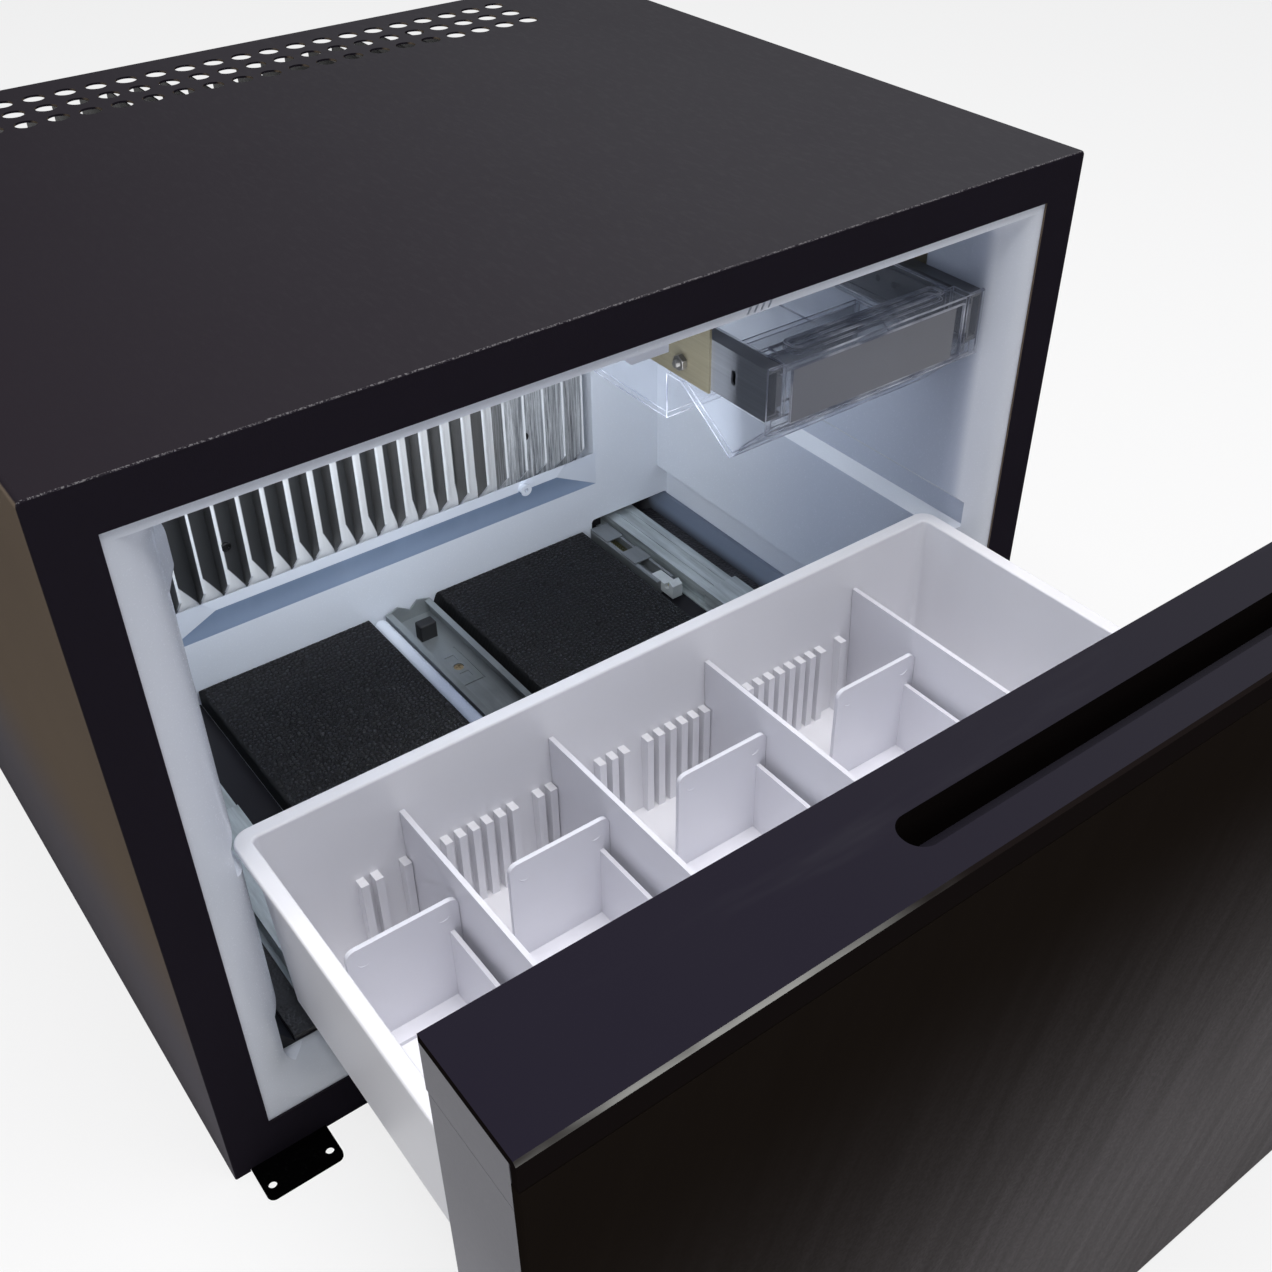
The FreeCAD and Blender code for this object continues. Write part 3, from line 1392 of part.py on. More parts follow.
# Basket: a drafted tub with a flat rim, ribs on its end walls and three keels that sit on the
# slides' outer members.
basket = Piece("basket")
b_low = S.basket_floor
b_top = S.basket_rim
b_rear = shift(S.basket_rear)
b_front = door_back + S.basket_front_gap
draft = S.basket_draft
b_wall = S.basket_wall
basket.loft("AdditiveLoft", "XY",
            (b_low, Round(-S.basket_half, S.basket_half, b_front, b_rear, S.basket_corner)),
            (b_top, Round(-S.basket_half - draft, S.basket_half + draft, b_front - draft,
                          b_rear + draft, S.basket_corner)))
rim_front = b_front - draft - S.basket_rim_out
rim_rear = b_rear + draft + S.basket_rim_out
basket.add("XY", b_top - S.basket_rim_sheet, b_top,
           Round(-S.basket_rim_half, S.basket_rim_half, rim_front, rim_rear,
                 S.basket_rim_corner))
for across in (-S.side_across, mid, S.side_across):
    basket.add("XZ", b_front + S.basket_rim_corner, b_rear - S.basket_rim_corner,
               rect(across - S.keel_width / 2, across + S.keel_width / 2, carrier_top, b_low))
    basket.cut("XZ", b_front + S.basket_rim_corner + S.keel_wall,
               b_rear - S.basket_rim_corner - S.keel_wall,
               rect(across - S.keel_width / 2 + S.keel_wall, across + S.keel_width / 2 - S.keel_wall,
                    carrier_top, b_low - S.keel_roof))
basket.loft("SubtractiveLoft", "XY",
            (b_low + b_wall, Round(-S.basket_half + b_wall, S.basket_half - b_wall,
                                   b_front + b_wall, b_rear - b_wall, S.basket_corner - b_wall)),
            (b_top, Round(-S.basket_half - draft + b_wall, S.basket_half + draft - b_wall,
                          b_front - draft + b_wall, b_rear + draft - b_wall,
                          S.basket_corner - b_wall)))
rib_out = S.rib_out
for first, count in RIB_GROUPS:
    rib_x = -S.rib_first + S.rib_step * first
    left, right = rib_x - S.rib_width / 2, rib_x + S.rib_width / 2
    rib = basket.add("XY", b_low + b_wall / 2, S.rib_top,
                     rect(left, right, b_rear - b_wall - rib_out, b_rear),
                     rect(left, right, b_front, b_front + b_wall + rib_out))
    if count > 1:
        basket.row(rib, "X", count, S.rib_step)
basket.round(S.basket_edge, lambda b: same(b.ZMin, b_top) and same(b.ZMax, b_top))

# Dividers: thin plates across the depth of the basket.  Separators: an upright plate with a
# foot and a lower leg that reaches forward beside the divider.
slope_share = draft / (b_top - b_low)
plate_low = b_low + b_wall


def wall_at(height):
    """How far the drafted wall has moved outward at a height."""
    return (height - b_low) * slope_share


def divider(label, at):
    piece = Piece(label)
    rear_low = b_rear - b_wall - S.divider_gap
    front_low = b_front + b_wall + S.divider_gap
    spread = wall_at(S.divider_top) - wall_at(plate_low)
    piece.add("YZ", at - S.divider_sheet / 2, at + S.divider_sheet / 2,
              [(rear_low, plate_low), (rear_low + spread, S.divider_top),
               (front_low - spread, S.divider_top), (front_low, plate_low)])


def separator(label, at):
    piece = Piece(label)
    end = at - S.divider_sheet / 2 - S.divider_gap
    plate_front = front - S.separator_at
    plate_rear = plate_front + S.separator_sheet
    piece.add("XZ", plate_front, plate_rear,
              rect(end - S.separator_width, end, plate_low, S.separator_top))
    piece.add("XY", plate_low, plate_low + S.separator_sheet,
              rect(end - S.separator_width, end, plate_front - S.separator_foot, plate_front))
    leg_right = end - S.separator_leg_in
    piece.add("YZ", leg_right - S.separator_sheet, leg_right,
              rect(plate_front - S.separator_leg, plate_front, plate_low, S.separator_leg_top))
    piece.round(S.separator_round, lambda b: runs(b, "Y") and same(b.ZMin, S.separator_top))


places = (-S.divider_1_at, -S.divider_2_at, S.divider_3_at, S.divider_4_at)
for number, place in enumerate(places, start=1):
    divider("divider_%d" % number, place)
for number, place in enumerate(places, start=1):
    separator("separator_%d" % number, place)

# Absorption unit in the open bay behind the box.
unit_face = foam_back + S.back_sheet
boiler = Piece("boiler_jacket")
boiler_left = -S.boiler_left
boiler_right = boiler_left + S.boiler_width
boiler.add("XY", S.boiler_low, S.boiler_low + S.boiler_height,
           Round(boiler_left, boiler_right, unit_face, unit_face + S.boiler_deep, S.boiler_round))
boiler_top = S.boiler_low + S.boiler_height
tube_y = unit_face + S.condenser_back
riser_x = (boiler_left + boiler_right) / 2
riser_y = unit_face + S.boiler_deep / 2
tube_end = S.condenser_end
# Radius of the tubes' bends, as shares of the riser's bend and of the coil's step.
bend_share = 0.6
coil_share = 0.45
tube_end_up = S.condenser_up - S.condenser_fall
condenser = bent_tube("condenser_run", [
    (riser_x, riser_y, boiler_top), (riser_x, riser_y, S.condenser_up - S.riser_bend),
    (riser_x + S.riser_bend * 2, tube_y, S.condenser_up), (tube_end, tube_y, S.condenser_up),
    (tube_end, tube_y, tube_end_up), (tube_end, unit_face, tube_end_up)],
    S.riser_radius, S.riser_bend * bend_share)
keep(condenser, "condenser_tube")
cfin = Piece("condenser_fins")
cfin_left = -S.cfin_first
cfin_low = S.condenser_up - S.cfin_height / 2
cfin_high = S.condenser_up + S.cfin_height / 2
cfin_front = tube_y - S.cfin_width / 2
cfin_span = S.cfin_step * (CONDENSER_FIN_COUNT - 1) + S.cfin_sheet
cfin.add("XZ", cfin_front, cfin_front + S.cfin_sheet,
         rect(cfin_left, cfin_left + cfin_span, cfin_low, cfin_low + S.strap_width / 2))
plate = cfin.add("YZ", cfin_left, cfin_left + S.cfin_sheet,
                 rect(cfin_front, cfin_front + S.cfin_width, cfin_low, cfin_high))
cfin.row(plate, "X", CONDENSER_FIN_COUNT, S.cfin_step)
cfin.cut("YZ", cfin_left - S.overrun, cfin_left + cfin_span + S.overrun,
         Circle(tube_y, S.condenser_up, S.riser_radius))
for place in (cfin_left, cfin_left + cfin_span - S.cfin_sheet):
    cfin.add("YZ", place, place + S.cfin_sheet,
             rect(unit_face, cfin_front, cfin_low, cfin_low + S.strap_width))

coil_points = []
coil_y = unit_face + S.coil_back
for run in range(COIL_RUNS):
    z = S.coil_low + S.coil_step * run
    ends = (-S.coil_left, S.coil_right)
    if run % 2:
        ends = (S.coil_right, -S.coil_left)
    coil_points += [(ends[0], coil_y, z), (ends[1], coil_y, z)]
coil_points[0] = (-S.vessel_left + S.vessel_radius, coil_y, S.coil_low)
coil_points.insert(0, (-S.vessel_left + S.vessel_radius, coil_y, S.vessel_up))
coil_points.append((-S.coil_left, coil_y, S.coil_low + S.coil_step * COIL_RUNS))
coil_points.append((-S.coil_left, unit_face, S.coil_low + S.coil_step * COIL_RUNS))
coil = bent_tube("coil_run", coil_points, S.coil_radius, S.coil_step * coil_share)
vessel = rod("vessel", "X", -S.vessel_left, coil_y, S.vessel_up, S.vessel_radius,
             S.vessel_left + S.vessel_right)
straps = [block("strap", side - S.strap_width / 2, side + S.strap_width / 2, unit_face, coil_y,
                S.vessel_up - S.vessel_radius, S.vessel_up - S.vessel_radius + S.strap_sheet)
          for side in (-S.vessel_left / 2, S.vessel_right / 2)]
keep(join("absorber", [vessel, coil] + straps), "absorber")

control = Piece("control_box")
c_left = S.control_left
c_right = c_left + S.control_width
c_back = unit_face + S.control_deep
c_high = S.control_low + S.control_height
control.add("XZ", unit_face, c_back, Round(c_left, c_right, S.control_low, c_high,
                                           S.control_round))
inlet_x = (c_left + c_right) / 2
inlet_z = (S.control_low + c_high) / 2
inlet_half = S.inlet_width / 2
inlet_tall = S.inlet_height / 2
control.cut("XZ", c_back - S.inlet_deep, c_back + S.overrun,
            rect(inlet_x - inlet_half, inlet_x + inlet_half, inlet_z - inlet_tall,
                 inlet_z + inlet_tall))
inlet = Piece("mains_inlet")
inlet.add("XZ", c_back - S.inlet_deep, c_back,
          rect(inlet_x - inlet_half, inlet_x + inlet_half, inlet_z - inlet_tall,
               inlet_z + inlet_tall))
inlet.add("XZ", c_back, c_back + S.inlet_sheet,
          Round(inlet_x - inlet_half - S.inlet_flange * 2, inlet_x + inlet_half + S.inlet_flange * 2,
                inlet_z - inlet_tall - S.inlet_flange, inlet_z + inlet_tall + S.inlet_flange,
                S.inlet_flange))
inlet.cut("XZ", c_back - S.inlet_deep + S.inlet_wall, c_back + S.inlet_sheet + S.overrun,
          rect(inlet_x - inlet_half + S.inlet_wall, inlet_x + inlet_half - S.inlet_wall,
               inlet_z - inlet_tall + S.inlet_wall, inlet_z + inlet_tall - S.inlet_wall))
for across, up in ((-1, -1), (0, 1), (1, -1)):
    pin_x = inlet_x + S.pin_step * across
    pin_z = inlet_z + S.pin_width * up
    inlet.add("XZ", c_back - S.inlet_deep, c_back - S.inlet_deep + S.pin_long,
              rect(pin_x - S.pin_width / 2, pin_x + S.pin_width / 2, pin_z - S.pin_height / 2,
                   pin_z + S.pin_height / 2))

# Screws: one in the middle slide, four in the evaporator plate and two in the housing.
screws = []


def screw(axis, x, y, z, direction, thickness=S.screw_head_high):
    """A round head that stands on a face; the direction is that of the head."""
    low = {"X": x, "Y": y, "Z": z}[axis]
    start = low if direction > 0 else low - thickness
    spot = {"X": x, "Y": y, "Z": z}
    spot[axis] = start
    screws.append(rod("screw", axis, spot["X"], spot["Y"], spot["Z"], S.screw_head, thickness))


screw("Z", mid, screw_row, floor, 1, sheet_t)
screw("Z", mid, slide_start + S.stop_width * 3, floor, 1, sheet_t)
gap_left = fin_first + S.fin_step * 5 / 2
gap_right = S.fin_last - S.fin_step * 5 / 2
for across in (gap_left, gap_right):
    for up in (evap_low + S.fin_tip_high * 2, evap_high - S.fin_tip_high * 2):
        screw("Y", across, fin_root, up, -1)
for across in (S.lamp_screw_in, S.lamp_screw_in + S.lamp_screw_step):
    screw("Z", across - S.lamp_left, lamp_face + S.lamp_screw_in, ceiling - S.lamp_drop, -1)
keep(gather("fixing_screws", screws), "fixing_screws")

doc.recompute()
for thing in doc.Objects:
    if "Invalid" in thing.State or "Error" in thing.State:
        raise RuntimeError("failed: %s %s" % (thing.Label, thing.State))
for feature, before in cuts:
    if not feature.Shape.Volume < before.Shape.Volume - SMALL:
        raise RuntimeError("cut nothing: %s" % feature.Name)
for thing in nodes:
    if thing.Shape.isNull() or not thing.Shape.isValid() or not thing.Shape.Solids:
        raise RuntimeError("bad shape: %s" % thing.Label)

os.makedirs("parts", exist_ok=True)
for thing in nodes:
    thing.Shape.exportStep("parts/%s.step" % thing.Label)
    print(thing.Label, len(thing.Shape.Solids), round(thing.Shape.Volume))
print("pieces", len(nodes))
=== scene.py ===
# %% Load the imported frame
import math
import bmesh
import bpy
import numpy as np
from mathutils import Matrix, Vector


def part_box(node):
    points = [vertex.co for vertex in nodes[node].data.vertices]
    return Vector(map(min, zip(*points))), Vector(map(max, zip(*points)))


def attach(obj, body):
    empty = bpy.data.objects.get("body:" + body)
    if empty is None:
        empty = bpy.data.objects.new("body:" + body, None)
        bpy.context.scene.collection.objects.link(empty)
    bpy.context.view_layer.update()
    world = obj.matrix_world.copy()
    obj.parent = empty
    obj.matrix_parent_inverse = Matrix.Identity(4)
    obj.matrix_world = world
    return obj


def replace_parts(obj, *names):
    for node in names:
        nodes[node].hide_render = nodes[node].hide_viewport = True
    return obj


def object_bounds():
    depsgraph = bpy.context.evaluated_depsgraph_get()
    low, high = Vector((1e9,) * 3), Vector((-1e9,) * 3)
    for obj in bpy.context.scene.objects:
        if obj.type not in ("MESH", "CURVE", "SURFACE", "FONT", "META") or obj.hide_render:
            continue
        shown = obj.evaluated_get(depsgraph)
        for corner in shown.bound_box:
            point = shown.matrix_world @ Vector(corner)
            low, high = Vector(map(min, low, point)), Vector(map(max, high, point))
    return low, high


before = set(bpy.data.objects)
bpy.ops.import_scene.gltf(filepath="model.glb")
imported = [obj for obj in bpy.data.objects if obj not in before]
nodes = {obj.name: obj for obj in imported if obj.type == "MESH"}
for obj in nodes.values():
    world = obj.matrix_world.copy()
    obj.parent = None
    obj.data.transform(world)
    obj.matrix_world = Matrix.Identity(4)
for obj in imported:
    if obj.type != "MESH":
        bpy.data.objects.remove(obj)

cad_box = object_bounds()
scene = bpy.context.scene
print("nodes", len(nodes), "box", cad_box)

# %% [markdown]
# The camera stands in front of the fridge's left corner, a little above its top, and looks down
# into the open drawer. A camera can be placed by eye or with a constraint. Here its place, its
# lens and the three directions of its turn are written down as numbers, found once from the
# straight edges of the casing, because then nothing can drift.

# %% Camera
camera_data = bpy.data.cameras.new("photo_view")
camera_data.sensor_width = 36.0
camera_data.lens = 40.614
camera_data.clip_start = 0.01
camera = bpy.data.objects.new("photo_view", camera_data)
scene.collection.objects.link(camera)
right = Vector((0.80307308, -0.59578794, -0.01050493))
down = Vector((-0.37405702, -0.49031832, -0.78719076))
ahead = Vector((0.463848, 0.63610115, -0.61662011))
place = Matrix((right, -down, -ahead)).transposed().to_4x4()
place.translation = Vector((-0.353717, -0.693098, 0.685644))
camera.matrix_world = place
scene.camera = camera
print("lens", camera_data.lens, "mm, camera at", tuple(place.translation))

# %% [markdown]
# The room is lit softly from above, and the white box inside the fridge is as bright as the
# basket in front of it. One could raise the lamp over the front until the inside is light
# enough, but then the door's side and the rolled mouth burn out. So a wide lamp hangs over the
# drawer, and two small lamps fill the box, one in its mouth that looks straight back, and one
# under its ceiling, where a fridge has its own light. The camera does not see these two.

# %% Lamps
scene.view_settings.view_transform = "Standard"


def aim(obj, spot, target):
    """Turns an object so that its own -Z looks from the spot at the target."""
    turn = (Vector(target) - Vector(spot)).to_track_quat("-Z", "Y")
    obj.matrix_world = Matrix.Translation(spot) @ turn.to_matrix().to_4x4()


def soft_lamp(name, spot, target, size, watts, colour, seen=True):
    """A rectangular lamp of a size in metres, aimed from a spot at a target."""
    data = bpy.data.lights.new(name, "AREA")
    data.shape = "RECTANGLE"
    data.size, data.size_y = size
    data.energy = watts
    data.color = colour
    lamp = bpy.data.objects.new(name, data)
    lamp.visible_camera = seen
    scene.collection.objects.link(lamp)
    aim(lamp, spot, target)
    print("lamp", name, watts, "W")


soft_lamp("room_lamp", spot=(0.0, -0.45, 2.2), target=(0.0, -0.3, 0.2), size=(1.6, 1.2),
          watts=46.0, colour=(1.0, 0.985, 0.985))
soft_lamp("front_lamp", spot=(-0.45, -1.6, 1.15), target=(0.0, 0.0, 0.2), size=(0.5, 0.5),
          watts=1.6, colour=(0.95, 0.97, 1.0))
soft_lamp("mouth_lamp", spot=(-0.05, -0.165, 0.30), target=(0.01, 0.08, 0.30),
          size=(0.24, 0.12), watts=0.70, colour=(0.92, 0.96, 1.0), seen=False)
soft_lamp("ceiling_lamp", spot=(0.0, -0.03, 0.372), target=(0.06, 0.06, 0.15),
          size=(0.16, 0.08), watts=0.14, colour=(0.90, 0.95, 1.0), seen=False)

# %% [markdown]
# Every finish below is a small sum of masks and colours. A node tree can be wired by hand, one
# link at a time, but that is hard to read back. One class wraps an output socket and gives it
# the usual operators, so a mask is written as an expression and adds its own Math nodes, and a
# second class makes any other node from its type, its settings and its inputs.

# %% Shader maths


class Wire:
    """Wraps one output socket, so that shader maths reads as plain Python."""

    def __init__(self, graph, socket):
        self.graph = graph
        self.socket = socket

    def join(self, how, other, swap=False):
        """A Math node of this wire and another value, or of both the other way round."""
        pair = (other, self) if swap else (self, other)
        return self.graph.node("ShaderNodeMath", {"operation": how}, {0: pair[0], 1: pair[1]})

    def __add__(self, other):
        return self.join("ADD", other)

    def __sub__(self, other):
        return self.join("SUBTRACT", other)

    def __mul__(self, other):
        return self.join("MULTIPLY", other)

    def __radd__(self, other):
        return self.join("ADD", other, True)

    def __rsub__(self, other):
        return self.join("SUBTRACT", other, True)

    def __rmul__(self, other):
        return self.join("MULTIPLY", other, True)

    def __pow__(self, other):
        return self.join("POWER", other)

    def size(self):
        """The value without its sign."""
        return self.join("ABSOLUTE", 0.0)

    def step(self, low, high):
        """0 below low, 1 above high, smooth between."""
        return self.graph.node("ShaderNodeMapRange", {"interpolation_type": "SMOOTHSTEP"},
                               {"Value": self, "From Min": low, "From Max": high,
                                "To Min": 0.0, "To Max": 1.0})


EVEN, LEVEL = (1.0, 1.0, 1.0), (0.0, 0.0, 0.0)


class Graph:
    """One material's node tree. node() makes any node from its type, settings and inputs."""

    def __init__(self, name):
        self.material = bpy.data.materials.new(name)
        self.material.use_nodes = True
        self.tree = self.material.node_tree
        self.tree.nodes.clear()

    def node(self, kind, settings=None, sockets=None, out=0):
        """Settings come first, as they can change the sockets; returns the output out."""
        made = self.tree.nodes.new(kind)
        for key, value in (settings or {}).items():
            setattr(made, key, value)
        for key, value in (sockets or {}).items():
            if isinstance(value, Wire):
                self.tree.links.new(value.socket, made.inputs[key])
            else:
                made.inputs[key].default_value = value
        return Wire(self, made.outputs[out]) if made.outputs else None

    def at(self, stretch=EVEN, turn=LEVEL):
        """Object coordinates in metres, turned about the origin and then stretched. The
        Texture mapping turns first, so that streaks can stand at a slant."""
        point = self.node("ShaderNodeTexCoord", out="Object")
        if (stretch, turn) == (EVEN, LEVEL):
            return point
        return self.node("ShaderNodeMapping", {"vector_type": "TEXTURE"}, {
            "Vector": point, "Rotation": turn, "Scale": tuple(1.0 / s for s in stretch)})

    def noise(self, scale, detail=2.0, rough=0.5, stretch=EVEN, turn=LEVEL):
        """Soft clouds, so many to the metre; a stretch below 1 draws them out."""
        return self.node("ShaderNodeTexNoise", None, {
            "Vector": self.at(stretch, turn), "Scale": scale, "Detail": detail,
            "Roughness": rough})

    def cells(self, scale):
        """Distance to the nearest of many scattered points."""
        return self.node("ShaderNodeTexVoronoi", None, {"Vector": self.at(), "Scale": scale})

    def axis(self, which):
        """One object coordinate, in metres."""
        return self.node("ShaderNodeSeparateXYZ", None, {"Vector": self.at()}, out=which)

    def facing(self, which):
        """How far the surface faces along one object axis, from -1 to 1."""
        normal = self.node("ShaderNodeTexCoord", out="Normal")
        return self.node("ShaderNodeSeparateXYZ", None, {"Vector": normal}, out=which)

    def mix(self, mask, a, b):
        """Colour a where the mask is 0, colour b where it is 1."""
        a, b = (c if isinstance(c, Wire) else (*c, 1.0) for c in (a, b))
        return self.node("ShaderNodeMix", {"data_type": "RGBA"},
                         {"Factor": mask, "A": a, "B": b}, out="Result")

    def bump(self, height, distance, strength=1.0):
        """Fine relief for the Normal socket, its full height in metres."""
        return self.node("ShaderNodeBump", None, {
            "Height": height, "Distance": distance, "Strength": strength})

    def surface(self, colour, rough, normal=None, **values):
        """Ends the tree in a Principled shader; other values go to its sockets by name."""
        sockets = {"Roughness": rough}
        sockets["Base Color"] = colour if isinstance(colour, Wire) else (*colour, 1.0)
        if normal is not None:
            sockets["Normal"] = normal
        for key, value in values.items():
            sockets[key.replace("_", " ")] = (*value, 1.0) if isinstance(value, tuple) else value
        shader = self.node("ShaderNodeBsdfPrincipled", None, sockets)
        self.node("ShaderNodeOutputMaterial", None, {"Surface": shader})
        return self.material


print("shader helpers:", Wire.__name__, Graph.__name__)

# %% [markdown]
# The photograph has been cut out on plain white. A white floor could be lit until it clips, but
# that light would wash out the object too. Instead the floor is a pale matt surface that keeps
# the soft shadow, and it glows white only to the camera and to reflections. The world does the
# same: white where it is seen, a dim cool light elsewhere.

# %% Floor and world
GLOW_SHARE, WORLD_LIGHT = 0.8, 0.22
ground = Graph("ground")
seen = (ground.node("ShaderNodeLightPath", out="Is Camera Ray")
        + ground.node("ShaderNodeLightPath", out="Is Glossy Ray")
        + ground.node("ShaderNodeLightPath", out="Is Transmission Ray"))
share = seen.join("MINIMUM", GLOW_SHARE)
pale = ground.node("ShaderNodeBsdfDiffuse", None, {"Color": (0.85, 0.85, 0.86, 1.0)})
white = ground.node("ShaderNodeEmission", None, {"Color": (1.0, 1.0, 1.0, 1.0), "Strength": 1.0})
ground.node("ShaderNodeOutputMaterial", None, {
    "Surface": ground.node("ShaderNodeMixShader", None, {0: share, 1: pale, 2: white})})
reach, floor_z = 6.0, cad_box[0][2]
floor_mesh = bpy.data.meshes.new("floor")
floor_mesh.from_pydata([(-reach, -reach, floor_z), (reach, -reach, floor_z),
                        (reach, reach, floor_z), (-reach, reach, floor_z)], [], [(0, 1, 2, 3)])
floor = bpy.data.objects.new("floor", floor_mesh)
floor.data.materials.append(ground.material)
scene.collection.objects.link(floor)

world = bpy.data.worlds.new("studio")
world.use_nodes = True
scene.world = world
sky = world.node_tree
sky.nodes.clear()
path = sky.nodes.new("ShaderNodeLightPath")
add = sky.nodes.new("ShaderNodeMath")
add.operation = "ADD"
add.use_clamp = True
shade = sky.nodes.new("ShaderNodeBackground")
shade.inputs["Color"].default_value = (0.92, 0.95, 1.0, 1.0)
shade.inputs["Strength"].default_value = WORLD_LIGHT
plain = sky.nodes.new("ShaderNodeBackground")
plain.inputs["Color"].default_value = (1.0, 1.0, 1.0, 1.0)
blend = sky.nodes.new("ShaderNodeMixShader")
sky.links.new(path.outputs["Is Camera Ray"], add.inputs[0])
sky.links.new(path.outputs["Is Transmission Ray"], add.inputs[1])
sky.links.new(add.outputs[0], blend.inputs[0])
sky.links.new(shade.outputs[0], blend.inputs[1])
sky.links.new(plain.outputs[0], blend.inputs[2])
sky.links.new(blend.outputs[0], sky.nodes.new("ShaderNodeOutputWorld").inputs[0])
print("floor at", floor_z, "world light", WORLD_LIGHT)

# %% [markdown]
# The solids of the frame already have the right shapes, so most of them only need the finish of
# the real piece. A finish could be painted as an image. Here it is worked out from each piece's
# own coordinates, so that it stays sharp at any distance and does not slide when a piece moves.

# %% Dressing
dressed = set()


def dress(material, *names):
    """Gives carried-over solids their finish."""
    for name in names:
        slots = nodes[name].data.materials
        slots.clear()
        slots.append(material)
    dressed.update(names)
    print(material.name, "on", len(names), "solids")


print(len(nodes), "solids to dress")

# %% [markdown]
# The casing is thin steel with a dark powder coat. On the real sheet the coat is finely grained,
# catches light in tiny points along the folded front edge, looks charcoal from above, nearly
# black from the front and brownish along the sides, where it picks up the room. One could build
# that room round the fridge for its reflections, but then every finish would change with it.
# So the way a face looks out is read as a mask, and three shades are laid over each other: the
# paler top is painted light, the sides carry a painted reflection of the room, and the points
# along the fold are painted glints.

# %% Casing paint


def casing_paint():
    """Three shades by the way a face looks: painted light on the top, and a painted reflection of
    the room on the sides. Fine grains dull the gloss, and painted glints sit on the fold. The
    top's painted light pales from left to right, and the sides' painted reflection turns from
    brown to grey near the floor."""
    g = Graph("casing_paint")
    cloud = g.noise(7.0, 3.0)
    weave = g.noise(420.0, 2.0, 0.6, stretch=(1.0, 0.3, 1.0))
    grain = g.noise(1500.0, 2.0)
    up, front = g.facing("Z"), g.facing("Y")
    side = g.facing("X").size().step(0.6, 0.9)
    front_black = (0.0180, 0.0150, 0.0210)
    top_left, top_right = (0.020, 0.0165, 0.0210), (0.056, 0.055, 0.060)
    # painted light: the top is paler than the front, and pales from left to right
    top_painted_light = g.mix(cloud, (0.026, 0.024, 0.029), (0.036, 0.035, 0.040))
    top_painted_light = g.mix(weave.step(0.45, 0.75) * 0.5, top_painted_light, (0.045, 0.044, 0.049))
    away = g.axis("X").step(-0.35, 0.35)
    top_painted_light = g.mix(away * 0.5, g.mix(away, top_left, top_painted_light), top_right)
    # painted reflection of the room on the sides: brown above, grey near the floor
    low = 1.0 - g.axis("Z").step(0.06, 0.22)
    side_painted_reflection = g.mix(low, (0.190, 0.148, 0.110), (0.152, 0.146, 0.166))
    side_painted_reflection = g.mix(cloud * 0.4, side_painted_reflection, (0.110, 0.090, 0.074))
    colour = g.mix(side, g.mix(up.step(0.6, 0.95), front_black, top_painted_light), side_painted_reflection)
    fold = up.step(0.15, 0.5) * (1.0 - up.step(0.86, 0.97)) * (0.0 - front).step(0.2, 0.5)
    # painted glints: pale specks along the folded front edge
    painted_glint = fold * g.noise(1300.0, 2.0, 0.7).step(0.45, 0.6)
    colour = g.mix(painted_glint * 0.6, colour, (0.26, 0.25, 0.26))
    return g.surface(colour, 0.46 + 0.16 * grain, g.bump(grain + weave, 0.0002, 0.4),
                     Specular_IOR_Level=0.0)


def bracket_black():
    """The fixing brackets are sprayed dead black, with a few dust specks."""
    g = Graph("bracket_black")
    grain = g.noise(700.0, 2.0)
    colour = g.mix(grain.step(0.6, 0.8), (0.0012, 0.0011, 0.0013), (0.006, 0.006, 0.006))
    return g.surface(colour, 0.7 + 0.2 * grain, g.bump(grain, 0.0002, 0.3),
                     Specular_IOR_Level=0.0)


dress(casing_paint(), "outer_casing", "bottom_plate")
dress(bracket_black(), "fixing_bracket_left", "fixing_bracket_right")

# %% [markdown]
# The door has a moulded cap with a soft satin skin and a glossier front edge, and under it a
# panel with a brown-black film. On the cap, painted light makes the top paler to the right, and
# the bright line along the front edge is a painted highlight. The film shows soft slanting
# threads and a grey sheen that grows towards its lower right corner. A lamp placed for that
# reflection would light the rest as well, so the sheen is a painted reflection, laid into the
# colour by place, with a thin clear coat over it.

# %% Door finishes


def cap_plastic():
    """Satin skin with faint strokes along the cap, paler to the right as painted light, and a
    painted highlight line along the bevelled front edge.
    """
    g = Graph("cap_plastic")
    cloud = g.noise(14.0, 4.0)
    stroke = g.noise(22.0, 4.0, 0.6, stretch=(0.35, 2.4, 1.0))
    grain = g.noise(900.0, 2.0)
    up = g.facing("Z")
    # painted light: the top pales from left to right
    away = g.axis("X").step(-0.30, 0.12)
    skin = g.mix(away, (0.0135, 0.0112, 0.0200), (0.026, 0.025, 0.031))
    skin = g.mix(cloud * 0.5, skin, (0.020, 0.019, 0.025))
    skin = g.mix(stroke.step(0.55, 0.8) * 0.4, skin, (0.036, 0.035, 0.043))
    colour = g.mix(up.step(0.8, 0.95), (0.0110, 0.0082, 0.0078), skin)
    # painted highlight: a bright line along the bevelled front edge
    painted_bevel_highlight = up.step(0.3, 0.6) * (1.0 - up.step(0.8, 0.97)) * (0.0 - g.facing("Y")).step(0.2, 0.5)
    painted_bevel_highlight = painted_bevel_highlight * (1.0 - g.axis("X").step(-0.23, -0.12)) * g.axis("Z").step(0.4182, 0.4190)
    colour = g.mix(painted_bevel_highlight * stroke.step(0.35, 0.6), colour, (0.36, 0.36, 0.34))
    return g.surface(colour, 0.34 + 0.12 * grain, g.bump(grain, 0.0001, 0.25),
                     Specular_IOR_Level=0.0)


